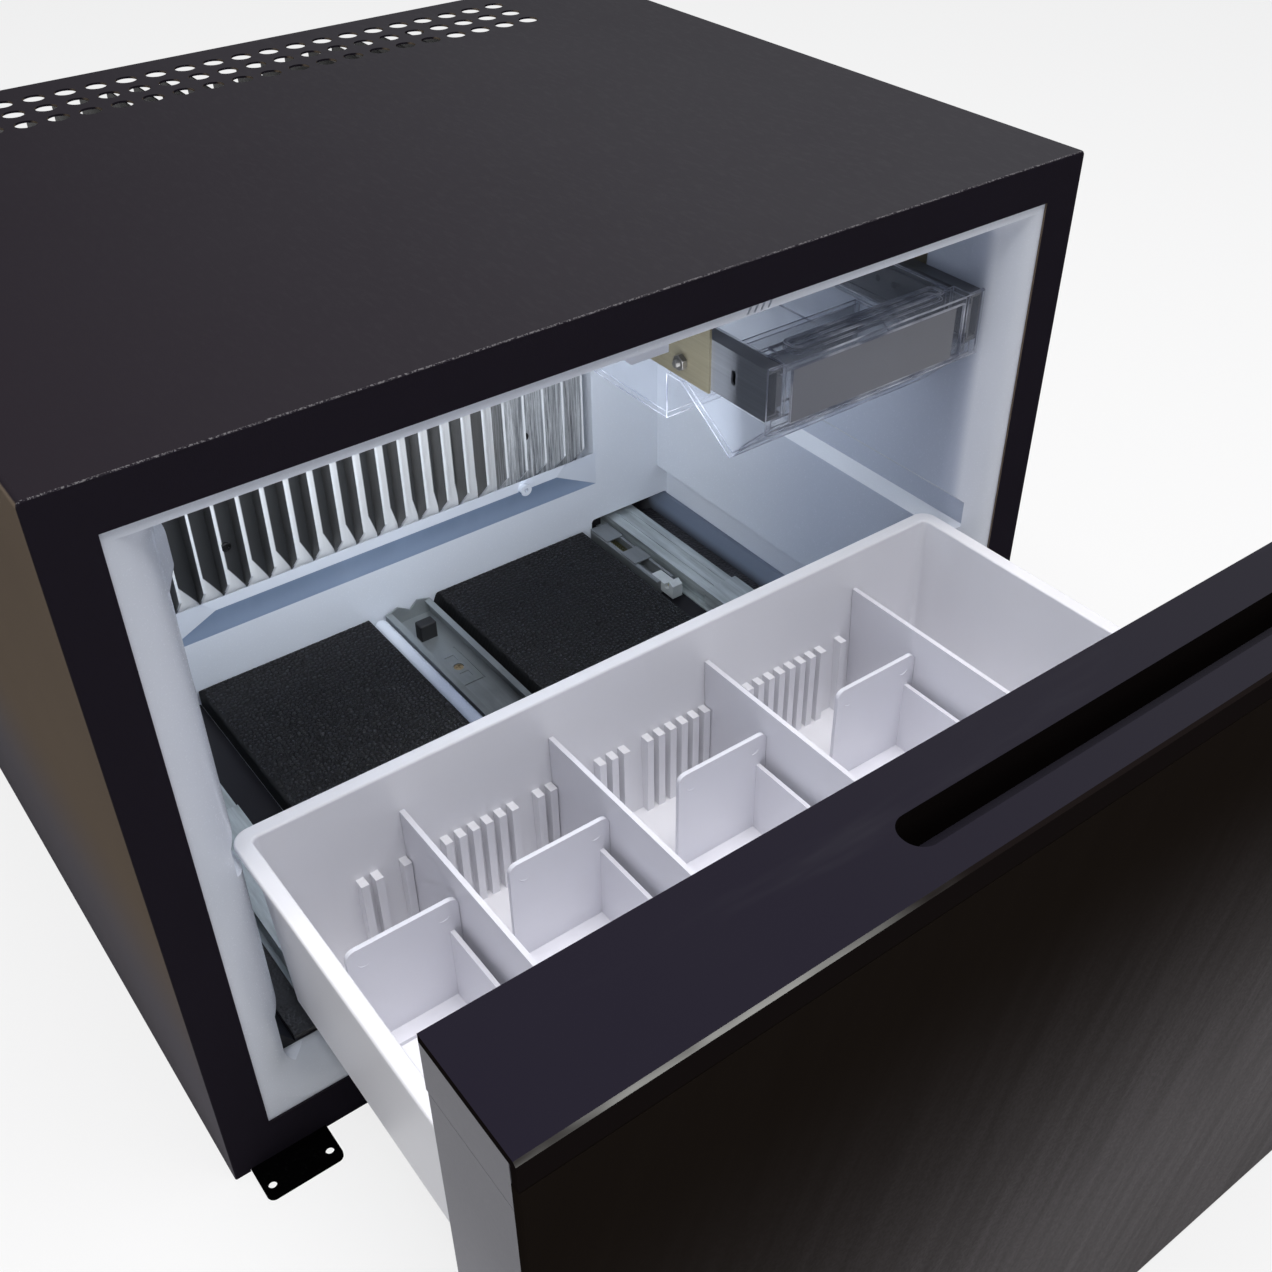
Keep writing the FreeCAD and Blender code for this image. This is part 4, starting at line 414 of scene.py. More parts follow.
def door_film():
    """Soft threads, a little off the vertical; the sheen, a painted reflection, grows along them
    towards the floor.
    """
    g = Graph("door_film")
    slant = (0.0, 0.32, 0.0)
    thread = g.noise(20.0, 4.0, 0.6, stretch=(5.0, 1.0, 0.45), turn=slant)
    fine = g.noise(60.0, 3.0, 0.6, stretch=(5.0, 1.0, 0.3), turn=slant)
    speck = g.noise(900.0, 2.0)
    # painted reflection: a grey sheen, strongest low down and towards the right
    low = (1.0 - g.axis("Z").step(0.10, 0.385)) * (0.5 + 0.5 * g.axis("X").step(-0.28, 0.0))
    sheen = low * (0.68 + 0.36 * thread.step(0.3, 0.7)) * (0.85 + 0.3 * fine)
    colour = g.mix(thread, (0.0125, 0.0092, 0.0072), (0.0150, 0.0112, 0.0088))
    colour = g.mix(sheen * (0.75 + 0.25 * speck.step(0.4, 0.6)), colour, (0.108, 0.096, 0.100))
    return g.surface(colour, 0.42 + 0.1 * thread, g.bump(speck, 0.0001, 0.25),
                     Specular_IOR_Level=0.0, Coat_Weight=low * 0.2, Coat_Roughness=0.4)


def side_plastic():
    """Pale grey moulding of the door's sides, a little cloudy."""
    g = Graph("side_plastic")
    cloud = g.noise(20.0, 3.0)
    grain = g.noise(700.0, 2.0)
    colour = g.mix(cloud, (0.195, 0.192, 0.214), (0.250, 0.247, 0.272))
    colour = g.mix((1.0 - g.axis("Z").step(0.26, 0.38)) * 0.6, colour, (0.37, 0.365, 0.405))
    return g.surface(colour, 0.5 + 0.1 * grain, g.bump(grain, 0.0001, 0.3),
                     Specular_IOR_Level=0.2)


dress(cap_plastic(), "door_top_cap")
dress(door_film(), "door_front_panel")
dress(side_plastic(), "door_shell", "handle_housing")

# %% [markdown]
# The liner is a white sheet drawn over a mould, so its gloss runs in long soft waves. Below the
# evaporator, beside the middle slide and on the right wall it lies in a blue-grey shade, which
# is laid into the colour by place, because the lamps in the box are too soft for it. The basket
# and its dividers are injection moulded, a shade warmer and more matt, and the thin dividers let
# a little light through. Subsurface light would do that too, but it is slow and noisy in thin
# plates, so they are simply not quite opaque.

# %% White mouldings


def white_plastic(name, low, high, rough, **values):
    """Moulded white: a faint drift between two shades, and long soft waves in the gloss."""
    g = Graph(name)
    cloud = g.noise(11.0, 3.0)
    ripple = g.noise(26.0, 2.0)
    grain = g.noise(1200.0, 1.0)
    return g.surface(g.mix(cloud, low, high), rough + 0.08 * grain,
                     g.bump(ripple, 0.004, 0.03), **values)


def gutter_white():
    """The liner's white, with the bluish shade that gathers below the trough's lip."""
    g = Graph("gutter_white")
    cloud = g.noise(60.0, 3.0, stretch=(1.0, 1.0, 0.3))
    under = (0.0 - g.facing("Z")).step(0.08, 0.18)
    pale_blue, deep_blue = (0.34, 0.43, 0.60), (0.20, 0.27, 0.39)
    shade = g.mix(g.axis("Z").step(0.104, 0.124), pale_blue, deep_blue)
    shade = g.mix(cloud * 0.5, shade, pale_blue)
    colour = g.mix(under, (0.72, 0.76, 0.84), shade)
    return g.surface(colour, 0.22, g.bump(cloud, 0.001, 0.2))


def liner_finish():
    """Formed white sheet with three shades by place: the undercut below the evaporator, the
    right wall, which turns away from the light, and the ridge beside the middle slide."""
    g = Graph("liner_white")
    cloud, ripple, grain = g.noise(11.0, 3.0), g.noise(26.0, 2.0), g.noise(1200.0, 1.0)
    streak = g.noise(60.0, 3.0, stretch=(1.0, 1.0, 0.3))
    colour = g.mix(cloud, (0.72, 0.76, 0.83), (0.78, 0.81, 0.88))
    under = (0.0 - g.facing("Z")).step(0.1, 0.4) * g.axis("Y").step(0.05, 0.07)
    under = under * (1.0 - g.axis("Z").step(0.13, 0.15))
    colour = g.mix(under, colour, g.mix(streak, (0.15, 0.21, 0.33), (0.26, 0.34, 0.48)))
    turned_away = (0.0 - g.facing("X")).step(0.8, 0.97) * g.axis("X").step(0.15, 0.20)
    turned_away = turned_away * (1.0 - g.axis("Y").step(-0.12, 0.05))
    colour = g.mix(turned_away * 0.75, colour, (0.36, 0.41, 0.53))
    ridge = g.axis("X").step(-0.032, -0.030) * (1.0 - g.axis("X").step(-0.012, -0.010))
    ridge = ridge * (1.0 - g.axis("Z").step(0.075, 0.080))
    ridge = ridge * (1.0 - g.axis("Y").step(-0.03, 0.07))
    colour = g.mix(ridge, colour, (0.30, 0.33, 0.41))
    return g.surface(colour, 0.22 + 0.08 * grain, g.bump(ripple, 0.004, 0.09))


liner_white = liner_finish()
basket_white = white_plastic("basket_white", (0.83, 0.83, 0.875), (0.88, 0.88, 0.91), 0.34)
divider_white = white_plastic("divider_white", (0.80, 0.80, 0.87), (0.86, 0.86, 0.91), 0.3,
                              Alpha=0.9)
dress(liner_white, "inner_liner", "ceiling_housing", "door_liner")
dress(gutter_white(), "drip_gutter")
dress(basket_white, "basket")
dress(divider_white, *["%s_%d" % (kind, k) for kind in ("divider", "separator")
                       for k in (1, 2, 3, 4)])

# %% [markdown]
# Some pieces carry detail that a solid of the frame leaves out. Each of these is a surface
# worked out as whole arrays: a grid of points from two parameters, whose cells become four-sided
# faces. Modelling them by hand would work as well, but a formula can be read, checked and
# changed. This cell holds the helpers: one joins a grid's cells, one welds grids into a piece.

# %% Surfaces from grids


def cells_of(rows, columns, loop_rows, loop_columns):
    """The cell i, j joins the points (i, j), (i+1, j), (i+1, j+1) and (i, j+1)."""
    i = np.arange(rows if loop_rows else rows - 1)[:, None]
    j = np.arange(columns if loop_columns else columns - 1)[None, :]
    down, over = (i + 1) % rows, (j + 1) % columns
    corners = (i * columns + j, down * columns + j, down * columns + over, i * columns + over)
    return np.stack([c.reshape(-1) for c in corners], -1)


def surface_piece(name, grids, material, body, crease=32.0, close=False):
    """Welds grids of points in millimetres, (points, loops in rows, loops in columns), into
    one piece that rides on a body. Edges sharper than the crease angle stay sharp."""
    spots, faces, start = [], [], 0
    for points, loop_rows, loop_columns in grids:
        rows, columns = points.shape[:2]
        spots.append(points.reshape(-1, 3) / 1000.0)
        faces.append(cells_of(rows, columns, loop_rows, loop_columns) + start)
        start += rows * columns
    mesh = bpy.data.meshes.new(name)
    mesh.from_pydata(np.concatenate(spots).tolist(), [], np.concatenate(faces).tolist())
    work = bmesh.new()
    work.from_mesh(mesh)
    bmesh.ops.remove_doubles(work, verts=work.verts, dist=1e-6)
    bmesh.ops.dissolve_degenerate(work, edges=work.edges, dist=1e-7)
    if close:
        bmesh.ops.holes_fill(work, edges=[e for e in work.edges if e.is_boundary])
    bmesh.ops.recalc_face_normals(work, faces=work.faces)
    open_edges = sum(e.is_boundary for e in work.edges)
    work.to_mesh(mesh)
    work.free()
    mesh.shade_smooth()
    mesh.set_sharp_from_angle(angle=math.radians(crease))
    mesh.materials.append(material)
    piece = bpy.data.objects.new(name, mesh)
    scene.collection.objects.link(piece)
    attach(piece, body)
    print(name, len(mesh.vertices), "points,", open_edges, "open edges")
    return piece


# Where a turned piece's own x, y and z point when its axis lies along X, Y or Z.
TURNS = {"X": ((0, 1, 0), (0, 0, 1), (1, 0, 0)), "Y": ((0, 0, 1), (1, 0, 0), (0, 1, 0)),
         "Z": ((1, 0, 0), (0, 1, 0), (0, 0, 1))}


def turned(radius, height, centre, axis, sense=1):
    """Each row's circle: x = r cos a, y = r sin a, z = h, then laid along the axis."""
    angle = np.linspace(0.0, 2.0 * np.pi, radius.shape[1], endpoint=False)
    local = np.stack((radius * np.cos(angle), radius * np.sin(angle), sense * height), -1)
    return np.array(centre) + local @ np.array(TURNS[axis], float)


def rows_of(profile, around):
    """A profile of (radius, height) pairs, repeated round the circle as two arrays."""
    profile = np.array(profile, float)
    ones = np.ones(around)
    return profile[:, :1] * ones, profile[:, 1:] * ones


print("a grid of 3 by 4 points has", len(cells_of(3, 4, False, False)), "cells")

# %% [markdown]
# The two floor pads are black covers with a pressed leather grain, and the lamp above draws
# small sparks from its pebbles. A bump map alone goes flat along the rounded edges. So the grain
# is real relief: seeds sit in a shaken grid, and the height of a point is the gap between its
# nearest and its second nearest seed, which is zero on the line between two pebbles and grows
# inside each. The minimum over the nine cells around a point is enough to find both.

# %% Leather relief
LOOSE, CROWN_GAP = 0.8, 0.42


def shake(column, row, salt):
    """A repeatable number from 0 to 1 for each cell: the loose digits of a large sine."""
    wild = np.sin(column * 12.9898 + row * 78.233 + salt) * 43758.5453
    return wild - np.floor(wild)


def pebbles(x, y, cell):
    """0 in the valleys between the seeds' fields, 1 on the pebbles' flat crowns."""
    u, v = x / cell, y / cell
    column, row = np.floor(u), np.floor(v)
    near = np.full(u.shape, 9.0)
    second = near.copy()
    for over in (-1, 0, 1):
        for up in (-1, 0, 1):
            seed_x = column + over + 0.5 + LOOSE * (shake(column + over, row + up, 0.0) - 0.5)
            seed_y = row + up + 0.5 + LOOSE * (shake(column + over, row + up, 5.0) - 0.5)
            gap = np.hypot(seed_x - u, seed_y - v)
            second = np.minimum(second, np.maximum(near, gap))
            near = np.minimum(near, gap)
    return np.clip((second - near) / CROWN_GAP, 0.0, 1.0)


def stations(low, high, edge, step):
    """Places along one side: close together in the rounded edges, even between them."""
    inside = np.linspace(low + edge, high - edge, int((high - low - 2 * edge) / step) + 1)
    rise = edge * np.array([0.0, 0.04, 0.12, 0.24, 0.42, 0.68])
    return np.concatenate((low + rise, inside, high - rise[::-1]))


def pad_grid(low, high, edge, slope, cell, relief, step):
    """Height over the floor: a quarter circle over each edge, less the valleys' depth; one
    more ring straight down at the bottom closes the sides. Where a slope is given, the height
    first rises along X in a straight line over that length."""
    x = stations(low[0], high[0], edge, step)[:, None]
    y = stations(low[1], high[1], edge, step)[None, :]
    x, y = np.broadcast_arrays(x, y)
    inward = np.minimum(np.minimum(x - low[0], high[0] - x), np.minimum(y - low[1], high[1] - y))
    short = edge - np.minimum(inward, edge)
    z = high[2] - edge + np.sqrt(edge ** 2 - short ** 2)
    if slope:
        z = np.minimum(z, low[2] + (x - low[0]) * (high[2] - low[2]) / slope)
    valley = (1.0 - pebbles(x, y, cell)) * np.clip(inward / edge, 0.0, 1.0)
    z = np.maximum(z - relief * valley, low[2])
    ringed = [np.pad(a, 1, mode="edge") for a in (x, y, z)]
    ringed[2][[0, -1], :] = low[2]
    ringed[2][:, [0, -1]] = low[2]
    return np.stack(ringed, -1)


def grained_pad():
    """Black skin: paler and glossier on the crowns, which are found by their height; the
    near-black valleys between them are painted shade.
    """
    g = Graph("grained_pad")
    pore = g.noise(1400.0, 2.0)
    wear = g.noise(18.0, 3.0)
    crown = g.axis("Z").step(PAD_TOP - PAD_RELIEF / 1000.0, PAD_TOP)
    # painted shade: the valleys between the pebbles are near black
    colour = g.mix(crown, (0.0005, 0.0004, 0.0006), g.mix(wear, (0.0036, 0.0030, 0.0038),
                                                          (0.0080, 0.0070, 0.0088)))
    return g.surface(colour, 0.60 - 0.42 * crown, g.bump(pore, 0.00008, 0.5),
                     Specular_IOR_Level=0.30)


PAD_EDGE, PAD_CELL, PAD_RELIEF, PAD_STEP = 3.0, 3.1, 0.75, 0.72
PAD_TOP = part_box("floor_pad_left")[1][2]
pad_skin = grained_pad()
for side, pad_slope in (("left", 0.0), ("right", 6.0)):
    pad_node = "floor_pad_" + side
    pad_low, pad_high = (np.array(corner) * 1000.0 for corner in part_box(pad_node))
    cover = pad_grid(pad_low, pad_high, PAD_EDGE, pad_slope, PAD_CELL, PAD_RELIEF, PAD_STEP)
    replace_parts(surface_piece("pad_cover_" + side, [(cover, False, False)], pad_skin,
                              "cabinet", 60.0, close=True), pad_node)


# %% [markdown]
# The rubber parts and the pans beside the pads are plain black. The rubber is dull, the pans are
# enamelled sheet, and the side mats have the same grain as the pads, but lie in shadow, so there
# the grain stays in the material.

# %% Black rubber and enamel


def black_rubber():
    """Dull rubber with a fine, uneven skin."""
    g = Graph("black_rubber")
    grain = g.noise(500.0, 3.0)
    colour = g.mix(grain, (0.006, 0.006, 0.007), (0.014, 0.014, 0.016))
    return g.surface(colour, 0.45 + 0.2 * grain, g.bump(grain, 0.0002, 0.4))


def pan_enamel():
    """Black; painted light makes the upright walls a little paler, and the outermost wall carries
    a painted reflection of the liner.
    """
    g = Graph("pan_enamel")
    cloud = g.noise(30.0, 3.0)
    # painted light: the upright walls are a little paler
    upright = g.facing("X").size().step(0.5, 0.9)
    colour = g.mix(cloud, (0.010, 0.009, 0.012), (0.016, 0.015, 0.019))
    # painted reflection of the liner on the outermost wall
    liner_painted_reflection = g.axis("X").step(0.2275, 0.2325)
    colour = g.mix(liner_painted_reflection, g.mix(upright, colour, (0.030, 0.032, 0.040)), (0.15, 0.18, 0.24))
    return g.surface(colour, 0.36 + 0.1 * cloud, g.bump(cloud, 0.0005, 0.1),
                     Specular_IOR_Level=0.2)


def mat_skin():
    """Pebbles in the material alone: painted shade darkens the gaps between the cells, and the
    bump raises their middles.
    """
    g = Graph("mat_skin")
    cell = g.cells(520.0)
    # painted shade: darker in the gaps between the cells
    return g.surface(g.mix(cell, (0.026, 0.024, 0.028), (0.010, 0.009, 0.011)), 0.4,
                     g.bump(1.0 - cell, 0.0006, 0.9))


dress(black_rubber(), "door_gasket", "slide_stop")
dress(pan_enamel(), "side_tray_left", "side_tray_right")
dress(mat_skin(), "side_pads")

# %% [markdown]
# The slides are rolled from galvanised strip. It is greenish grey and streaked along the rolling
# direction. Its tops are painted paler than its flanks as painted light, and the centre slide
# gets a darker copy of the finish as painted shade. The evaporator is raw aluminium. In the
# photograph the light comes low from the left, so every fin throws a shadow on the plate, and a
# lamp for that alone would spoil the rest. The shadow's edge is a straight line in each gap, so
# the shadow is painted into the plate's colour instead, worked out from the pitch of the fins.
# The fins' dark flanks, their bright front edges and the bright brushing at the far right are
# painted light and shade as well.

# %% Metals


def zinc_sheet(name, low, high, top, rear=0.0):
    """Streaks along Y; the tops are painted paler than the flanks as painted light, and rear is
    how far the sheet turns to the top's colour towards its rear end, which is painted light as
    well."""
    g = Graph(name)
    streak = g.noise(34.0, 5.0, 0.65, stretch=(7.0, 0.6, 7.0))
    bloom = g.noise(55.0, 3.0)
    up = g.facing("Z").step(0.5, 0.9)
    colour = g.mix(streak.step(0.25, 0.75), low, high)
    # painted light: tops paler than flanks
    colour = g.mix(up * 0.35, colour, g.mix(bloom, high, top))
    # painted light towards the rear end, as far as rear says
    colour = g.mix(g.axis("Y").step(-0.06, 0.07) * rear, colour, top)
    return g.surface(colour, 0.30 + 0.18 * streak, g.bump(streak, 0.0003, 0.35), Metallic=0.55)


FIN_START, FIN_PITCH = -0.15395, 0.01655
FIN_FRONT, PLATE_FRONT = 0.0758, 0.084
POINT_TOP, POINT_FALL = 0.140, 52.6
LIT_MIDDLE, LIT_GROWTH = 0.70, 2.9


def fin_metal():
    """Each fin's shadow on the plate on its left is painted. The lit share of a pitch grows with
    X and reaches the next fin below the pointed ends; the flanks are painted dark as shade but
    for a painted highlight along their front edges, and at the far right painted light, as if it
    struck them low, brings out the brushing."""
    g = Graph("fin_metal")
    line = g.noise(46.0, 5.0, 0.7, stretch=(3.0, 3.0, 0.12))
    along = g.axis("X")
    # painted shadow: each fin's shadow on the plate, worked out from the pitch
    share = ((along - FIN_START) * (1.0 / FIN_PITCH)).join("FRACT", 0.0)
    limit = LIT_MIDDLE + LIT_GROWTH * along
    below = ((POINT_TOP - g.axis("Z")) * POINT_FALL).join("MAXIMUM", 0.0).join("MINIMUM", 1.0)
    lit = 1.0 - (share - (limit + (1.0 - limit) * below)).step(-0.03, 0.03)
    # painted light: at the far right the brushing is bright
    far = along.step(0.080, 0.115)
    scratch = g.noise(210.0, 5.0, 0.75, stretch=(3.0, 3.0, 0.10))
    brushed = g.mix(scratch.step(0.35, 0.65), (0.17, 0.18, 0.20), (0.80, 0.82, 0.85))
    depth = g.axis("Y") + (line - 0.5) * 0.0012
    # painted highlight along the flanks' front edges, with a dark line behind it; the rest of
    # each flank is painted shade
    painted_edge_highlight = 1.0 - depth.step(FIN_FRONT, 0.0761)
    flank = g.mix(painted_edge_highlight, g.mix(depth.step(0.0762, 0.0768), (0.008, 0.009, 0.010),
                              (0.110, 0.109, 0.108)), (0.70, 0.71, 0.73))
    flank = g.mix(far, flank, brushed)
    bright = g.mix(line * 0.6, (0.90, 0.91, 0.93), (0.62, 0.64, 0.67))
    plate = g.mix(far, g.mix(lit, (0.052, 0.054, 0.057), bright), brushed)
    aside = g.facing("X").size().step(0.5, 0.9)
    # painted light: the fins' front faces take the plate's bright colour
    colour = g.mix(aside, g.mix(g.axis("Y").step(PLATE_FRONT, 0.086), bright, plate), flank)
    return g.surface(colour, 0.34 + 0.16 * line, g.bump(line, 0.0006, 0.4),
                     Specular_IOR_Level=0.2)


def stainless(name, low, high, metallic=0.7):
    """Rolled steel with fine lengthwise lines."""
    g = Graph(name)
    line = g.noise(90.0, 4.0, 0.6, stretch=(1.0, 0.1, 6.0))
    spot = g.noise(60.0, 3.0)
    colour = g.mix(line, low, high)
    colour = g.mix(spot.step(0.6, 0.8) * 0.3, colour, low)
    return g.surface(colour, 0.26 + 0.16 * line, g.bump(line, 0.0001, 0.3), Metallic=metallic)


zinc = zinc_sheet("zinc_sheet", (0.23, 0.26, 0.265), (0.58, 0.63, 0.64), (0.74, 0.78, 0.79))
# a darker copy of the zinc finish: painted shade on the centre slides
painted_shade_zinc = zinc_sheet("painted_shade_zinc", (0.034, 0.037, 0.040), (0.115, 0.122, 0.130),
                       (0.40, 0.43, 0.44), 0.7)
dress(zinc, "back_plate", *["slide_%s_%s" % (kind, side) for kind in ("fixed", "middle", "drawer")
                            for side in ("left", "right")])
dress(painted_shade_zinc, "slide_fixed_centre", "slide_middle_centre", "slide_drawer_centre")
dress(fin_metal(), "evaporator_fins")
rail_steel = stainless("rail_steel", (0.052, 0.056, 0.068), (0.120, 0.126, 0.142), 0.3)
hanger_steel = stainless("hanger_steel", (0.13, 0.115, 0.08), (0.23, 0.21, 0.15))
screw_steel = stainless("screw_steel", (0.30, 0.29, 0.27), (0.56, 0.54, 0.52), 0.9)
nut_steel = stainless("nut_steel", (0.030, 0.029, 0.029), (0.15, 0.145, 0.14), 0.8)
black_steel = stainless("black_steel", (0.010, 0.010, 0.011), (0.035, 0.035, 0.037), 0.5)
dress(rail_steel, "tray_rail_left", "tray_rail_right", "tray_runner_left", "tray_runner_right")
dress(hanger_steel, "tray_bracket_left", "tray_bracket_right")
dress(stainless("spring_steel", (0.05, 0.048, 0.02), (0.14, 0.13, 0.06)), "softclose_spring")
dress(stainless("housing_steel", (0.13, 0.14, 0.15), (0.30, 0.32, 0.33), 0.5),
      "softclose_housing")

# %% [markdown]
# The fixing screws are pan heads with a cross recess. A head could be a low cylinder with two
# boxes cut out of it. Here it is one surface of two parameters: the radius runs from the middle
# to the rim, the angle goes round, and the height is a flat dome less a cross whose arms fade
# out towards the rim. The slide's screws are yellowed, those on the fins are black.

# %% Screw heads
DOME_FALL, CROSS_DEPTH, ARM_EDGE, ARM_END = 0.35, 0.55, 0.17, 0.66


def cross_head(centre, axis, sense, radius, high):
    """h = high (1 - 0.35 t^3), t from 0 in the middle to 1 at the rim, less a cross as deep as
    0.55 of that height. Its arms reach a sixth of the radius to each side of the axes and fade
    out at two thirds of it. A straight wall and a flat bottom close the head."""
    around = 72
    angle = np.linspace(0.0, 2.0 * np.pi, around, endpoint=False)[None, :]
    t = np.concatenate((np.linspace(0.0, 0.97, 22), [1.0]))[:, None]
    arm = np.minimum(np.abs(t * np.sin(angle)), np.abs(t * np.cos(angle)))
    cut = np.clip((ARM_EDGE - arm) / 0.05, 0.0, 1.0) * np.clip((ARM_END - t) / 0.08, 0.0, 1.0)
    height = high * (1.0 - DOME_FALL * t ** 3) - CROSS_DEPTH * high * cut
    reach = radius * t * np.ones((1, around))
    wall_r = np.full((2, around), radius)
    wall_r[1] = 0.0
    wall_h = np.zeros((2, around))
    return turned(np.concatenate((reach, wall_r)), np.concatenate((height, wall_h)), centre,
                  axis, sense)


HEAD_RADIUS, HEAD_HIGH, LOW_HEAD_HIGH = 3.4, 1.6, 1.2
floor_screws = [(2.0, y, 54.0) for y in (4.3, -177.0)]
fin_screws = [(x, 90.5, z) for x in (-112.58, 119.13) for z in (157.0, 340.5)]
lamp_screws = [(x, -206.0, 388.0) for x in (-96.0, -86.0)]
yellow_steel = stainless("yellow_steel", (0.20, 0.14, 0.07), (0.42, 0.33, 0.20), 0.8)
for name, spots, axis, sense, high, finish in (
        ("slide_screws", floor_screws, "Z", 1, LOW_HEAD_HIGH, yellow_steel),
        ("fin_screws", fin_screws, "Y", -1, HEAD_HIGH, black_steel),
        ("lamp_screws", lamp_screws, "Z", -1, HEAD_HIGH, screw_steel)):
    heads = [(cross_head(spot, axis, sense, HEAD_RADIUS, high), False, True) for spot in spots]
    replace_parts(surface_piece(name, heads, finish, "cabinet"), "fixing_screws")

# %% [markdown]
# A hexagon nut holds the snack tray's left hanger, and the bolt's thread stands out of it. On
# the right a flat rivet does the same job. A nut's outline is a circle cut by six flats: the
# radius is the smaller of the flat's distance over the cosine of the angle to it, and of a cone
# that takes the corners off at both ends. The thread is a screw surface: its radius goes up and
# down once a pitch, and the whole pattern climbs by one pitch a turn.

# %% Nut, thread and rivet


def hex_nut(centre, axis, sense, flat, bore, thick):
    """r = min(flat / cos(angle to the nearest flat), chamfer cone), over a bored ring."""
    around = 144
    angle = np.linspace(0.0, 2.0 * np.pi, around, endpoint=False)
    from_flat = np.mod(angle + np.pi / 6.0, np.pi / 3.0) - np.pi / 6.0
    hexagon = flat / np.cos(from_flat)
    cone = np.array([bore, flat * 0.97, flat * 1.06, flat * 1.2, flat * 1.2, flat * 1.06,
                     flat * 0.97, bore])[:, None]
    rise = np.array([0.0, 0.0, 0.07, 0.2, 0.8, 0.93, 1.0, 1.0])[:, None] * thick
    return turned(np.minimum(hexagon[None, :], cone), rise * np.ones((1, around)), centre,
                  axis, sense)


def threaded_end(centre, axis, sense, radius, pitch, long):
    """r = radius - depth |2 frac(h / pitch - a / 2 pi) - 1|, rounded off at the tip."""
    around, depth = 48, 0.55 * pitch
    angle = np.linspace(0.0, 2.0 * np.pi, around, endpoint=False)[None, :]
    height = np.linspace(0.0, long, int(long / pitch * 12) + 1)[:, None]
    turn = height / pitch - angle / (2.0 * np.pi)
    saw = np.abs(2.0 * (turn - np.floor(turn)) - 1.0)
    tip = np.clip((long - height) / pitch, 0.0, 1.0) ** 0.5
    reach = (radius - depth * saw) * (0.72 + 0.28 * tip)
    flat = np.zeros((1, around))
    return turned(np.concatenate((flat, reach, flat)),
                  np.concatenate((flat, height * np.ones((1, around)), flat + long)), centre,
                  axis, sense)


BOLT_PLACE = (-152.0, 330.5)
nut_spot, rivet_spot = (73.9, *BOLT_PLACE), (229.05, *BOLT_PLACE)
nut = hex_nut(nut_spot, "X", -1, flat=4.1, bore=2.3, thick=3.4)
thread = threaded_end(nut_spot, "X", -1, radius=2.35, pitch=0.8, long=5.9)
rivet_profile = [(0.0, 0.0), (2.3, 0.0), (2.3, 0.5), (2.0, 0.9), (1.2, 1.25), (0.0, 1.35)]
rivet = turned(*rows_of(rivet_profile, 40), rivet_spot, "X", 1)
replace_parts(surface_piece("hanger_nut", [(nut, True, True), (thread, False, True)],
                          nut_steel, "cabinet", 25.0), "tray_bolts")
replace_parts(surface_piece("hanger_rivet", [(rivet, False, True)], screw_steel,
                          "cabinet"), "tray_bolts")

# %% [markdown]
# The soft-closing catch is a pale hook, and a small brass roller runs in its notch. The roller
# is turned on a lathe, so it is a profile carried round its axis: two rims with a groove between
# them, and a pin's head on either side. It stays low enough to pass under the housing's cover
# when the catch slides back.

# %% Brass roller


def brass():
    """Yellow metal with fine turning marks."""
    g = Graph("brass")
    line = g.noise(300.0, 3.0)
    return g.surface(g.mix(line, (0.42, 0.36, 0.06), (0.72, 0.64, 0.22)), 0.25 + 0.1 * line,
                     g.bump(line, 0.0001, 0.2), Metallic=0.8)


ROLLER_SPOT = (171.0, -18.5, 64.1)
roller = [(0.0, -2.3), (0.8, -2.3), (0.8, -1.9), (1.5, -1.9), (1.7, -1.7), (1.7, -1.1),
          (1.3, -0.8), (1.3, 0.8), (1.7, 1.1), (1.7, 1.7), (1.5, 1.9), (0.8, 1.9), (0.8, 2.3),
          (0.0, 2.3)]
rims = turned(*rows_of(roller, 48), ROLLER_SPOT, "X")
surface_piece("catch_roller", [(rims, False, True)], brass(), "softclose_catch")

# %% [markdown]
# Each separator shows two small curved witness marks near its upper corners, where the mould
# pushed it out. They are thin crescents: a tube along an arc, whose radius follows half a sine
# wave, so that both ends run out to nothing.

# %% Crescents on the separators


def crescent(centre, arc_radius, start, sweep, thick):
    """A tube of radius thick * sin(pi t) along an arc in the plane of X and Z."""
    t = np.linspace(0.0, 1.0, 25)[:, None]
    around = np.linspace(0.0, 2.0 * np.pi, 10, endpoint=False)[None, :]
    bend = start + sweep * t
    tube = thick * np.sin(np.pi * t)
    ray = arc_radius + tube * np.cos(around)
    return np.stack((centre[0] + ray * np.cos(bend), centre[1] + tube * np.sin(around),
                     centre[2] + ray * np.sin(bend)), -1)


MARK_INSET, MARK_RADIUS, MARK_SWEEP, MARK_THICK, PLATE_Y = 9.0, 4.2, 1.9, 0.32, -261.0
for number in (1, 2, 3, 4):
    (plate_left, _, _), (plate_right, _, plate_top) = (
        np.array(corner) * 1000.0 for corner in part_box("separator_%d" % number))
    marks = [(crescent((x, PLATE_Y, plate_top - drop), MARK_RADIUS, start, MARK_SWEEP,
                       MARK_THICK), False, True)
             for x, drop, start in ((plate_left + MARK_INSET, 9.0, -2.9),
                                    (plate_right - MARK_INSET, 7.5, -2.3))]
    surface_piece("separator_marks_%d" % number, marks, divider_white,
                  "separator_%d" % number)

# %% [markdown]
# The snack tray is clear styrene. Real glass with refraction turns thin double walls black,
# because light has to pass many surfaces. So the plastic is nearly see-through instead, and gets
# solid only where it is seen edge on. What draws a clear box is its edges, which gather light:
# every sharp edge gets a thin tube just under its corner, and the tubes' pale colour is painted
# light. Behind the front lies a satin panel.

# %% Clear plastic


